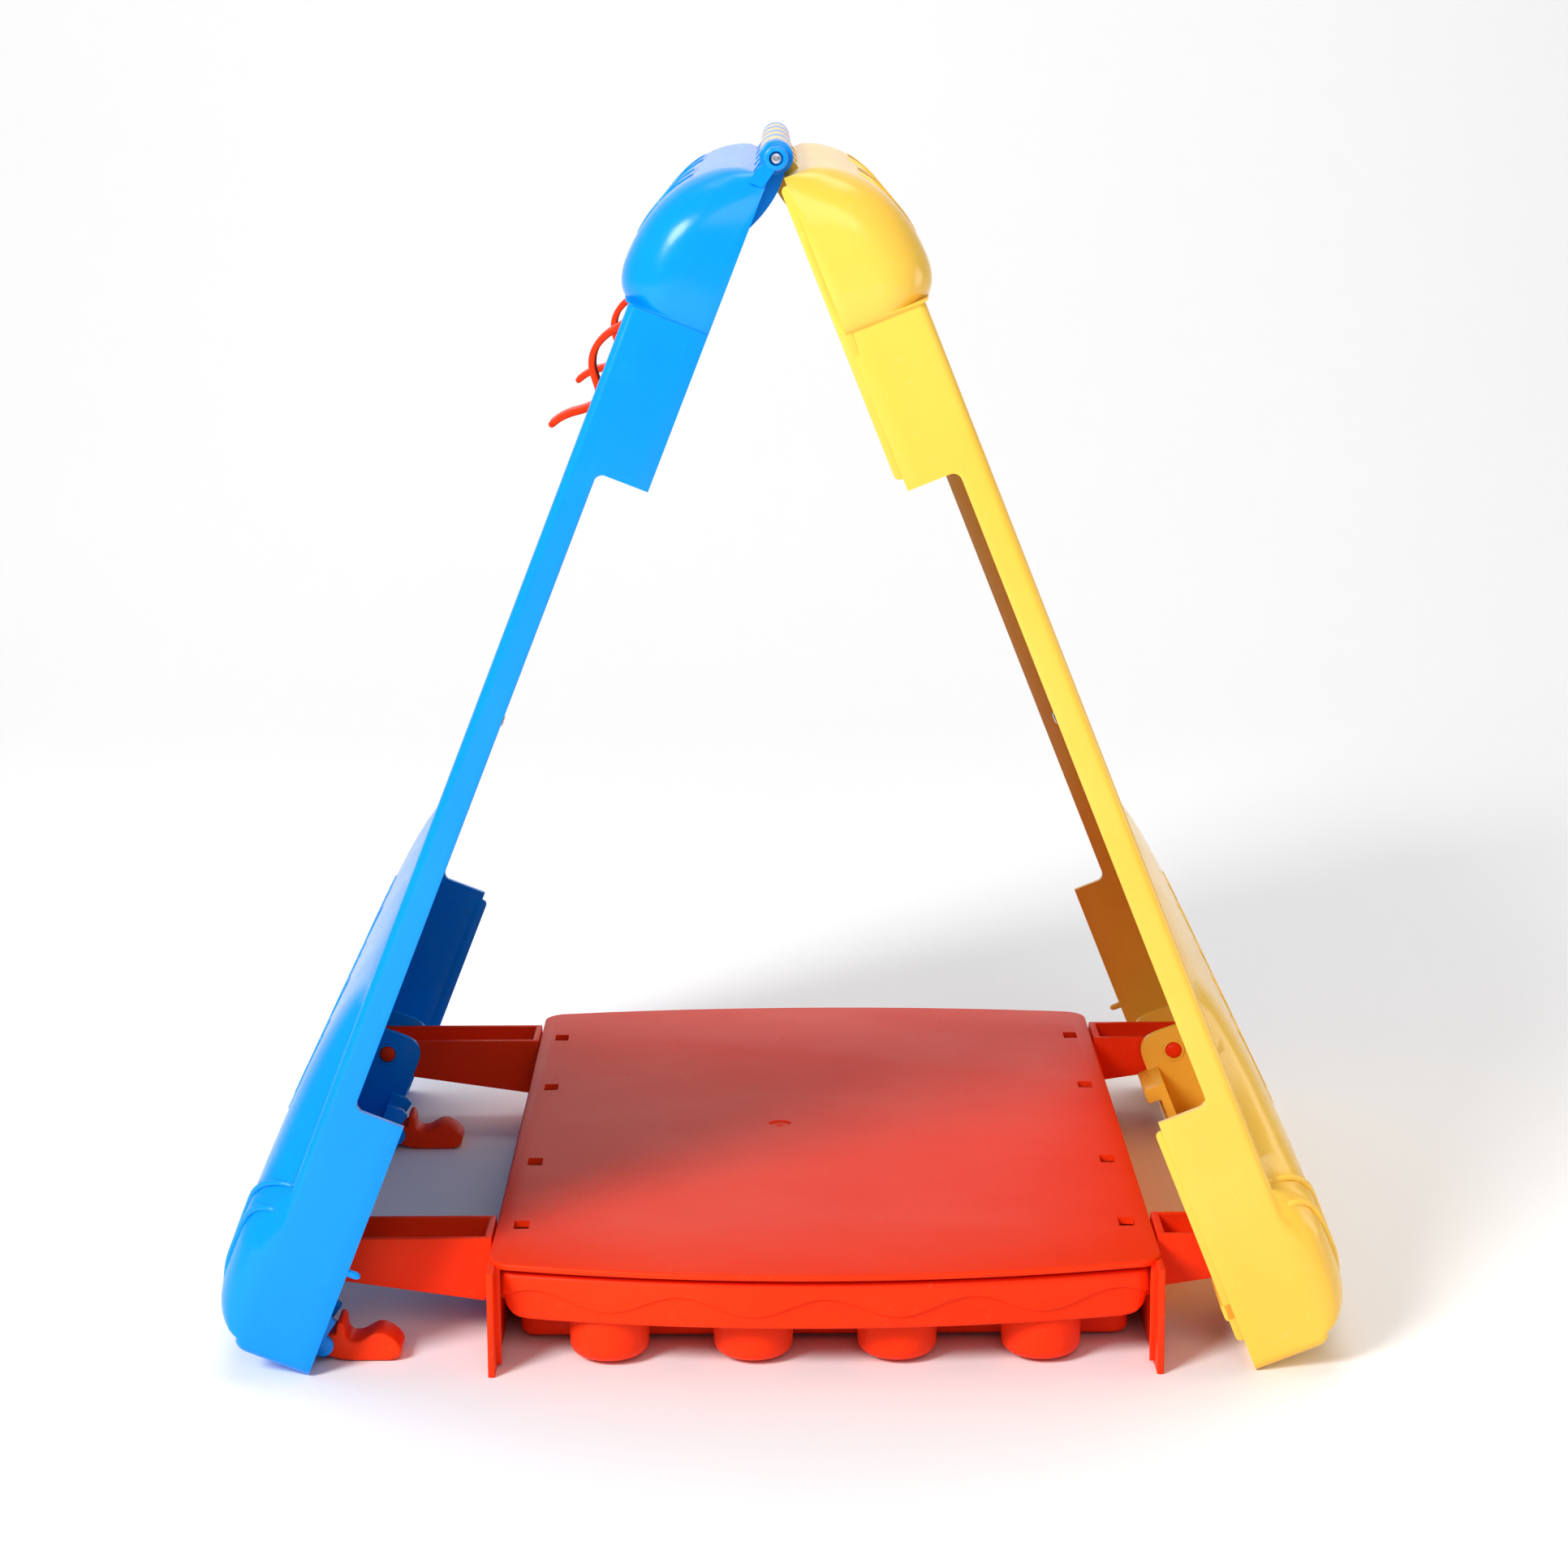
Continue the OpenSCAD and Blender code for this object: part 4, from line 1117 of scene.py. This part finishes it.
def sweep_floor():
    """A pale floor that curves up into a backdrop."""
    near, far, top, radius = -3.0, 2.2, 3.0, 1.2
    profile = [(near, 0.0), (far - radius, 0.0)]
    profile += [(far - radius + radius * math.sin(a), radius - radius * math.cos(a))
                for a in (math.pi / 2 * k / 16 for k in range(1, 17))]
    profile.append((far, top))
    verts = [(x, y, z) for y, z in profile for x in (-4.0, 4.0)]
    faces = [(2 * i, 2 * i + 1, 2 * i + 3, 2 * i + 2) for i in range(len(profile) - 1)]
    mesh = bpy.data.meshes.new("studio_floor")
    mesh.from_pydata(verts, [], faces)
    mesh.polygons.foreach_set("use_smooth", [True] * len(mesh.polygons))
    mesh.materials.append(floor_material())
    floor = bpy.data.objects.new("studio_floor", mesh)
    bpy.context.scene.collection.objects.link(floor)


def area_light(name, place, aim, size, power, colour=(1, 1, 1)):
    lamp = bpy.data.lights.new(name, "AREA")
    lamp.shape = "DISK"
    lamp.size = size
    lamp.energy = power
    lamp.color = colour
    thing = bpy.data.objects.new(name, lamp)
    thing.location = place
    thing.rotation_euler = (Vector(aim) - Vector(place)).to_track_quat("-Z", "Y").to_euler()
    bpy.context.scene.collection.objects.link(thing)


def camera():
    pitch, yaw, roll = math.radians(11.40), math.radians(0.09), math.radians(-0.28)
    ahead = Vector((math.sin(yaw) * math.cos(pitch), math.cos(yaw) * math.cos(pitch), -math.sin(pitch)))
    right = Vector((math.cos(yaw), -math.sin(yaw), 0))
    up = right.cross(ahead)
    right, up = (right * math.cos(roll) + up * math.sin(roll), up * math.cos(roll) - right * math.sin(roll))
    lens = bpy.data.cameras.new("camera")
    lens.lens = 82.85
    lens.sensor_width = 36
    thing = bpy.data.objects.new("camera", lens)
    turn = Matrix((right, up, -ahead)).transposed().to_4x4()
    thing.matrix_world = Matrix.Translation((-0.0003, -1.311, 0.431)) @ turn
    bpy.context.scene.collection.objects.link(thing)
    bpy.context.scene.camera = thing


sweep_floor()
area_light("key", (-1.35, -1.75, 1.5), (0, 0, 0.12), 0.85, 57)
area_light("top", (0.1, 0.5, 2.3), (0, 0.2, 0.1), 1.5, 14)
area_light("front", (0.25, -2.3, 1.5), (0, 0, 0.15), 1.2, 11)
area_light("fill", (1.25, 0.0, 0.32), (0.1, 0, 0.15), 0.5, 2.1, (1, 0.94, 0.88))
area_light("backdrop", (0.0, 0.9, 2.6), (0, 2.0, 0.8), 1.8, 9)
world = bpy.data.worlds.new("studio")
world.use_nodes = True
world.node_tree.nodes["Background"].inputs["Color"].default_value = (0.97, 0.98, 1.0, 1)
world.node_tree.nodes["Background"].inputs["Strength"].default_value = 0.25
bpy.context.scene.world = world
bpy.context.scene.view_settings.view_transform = "Standard"
camera()
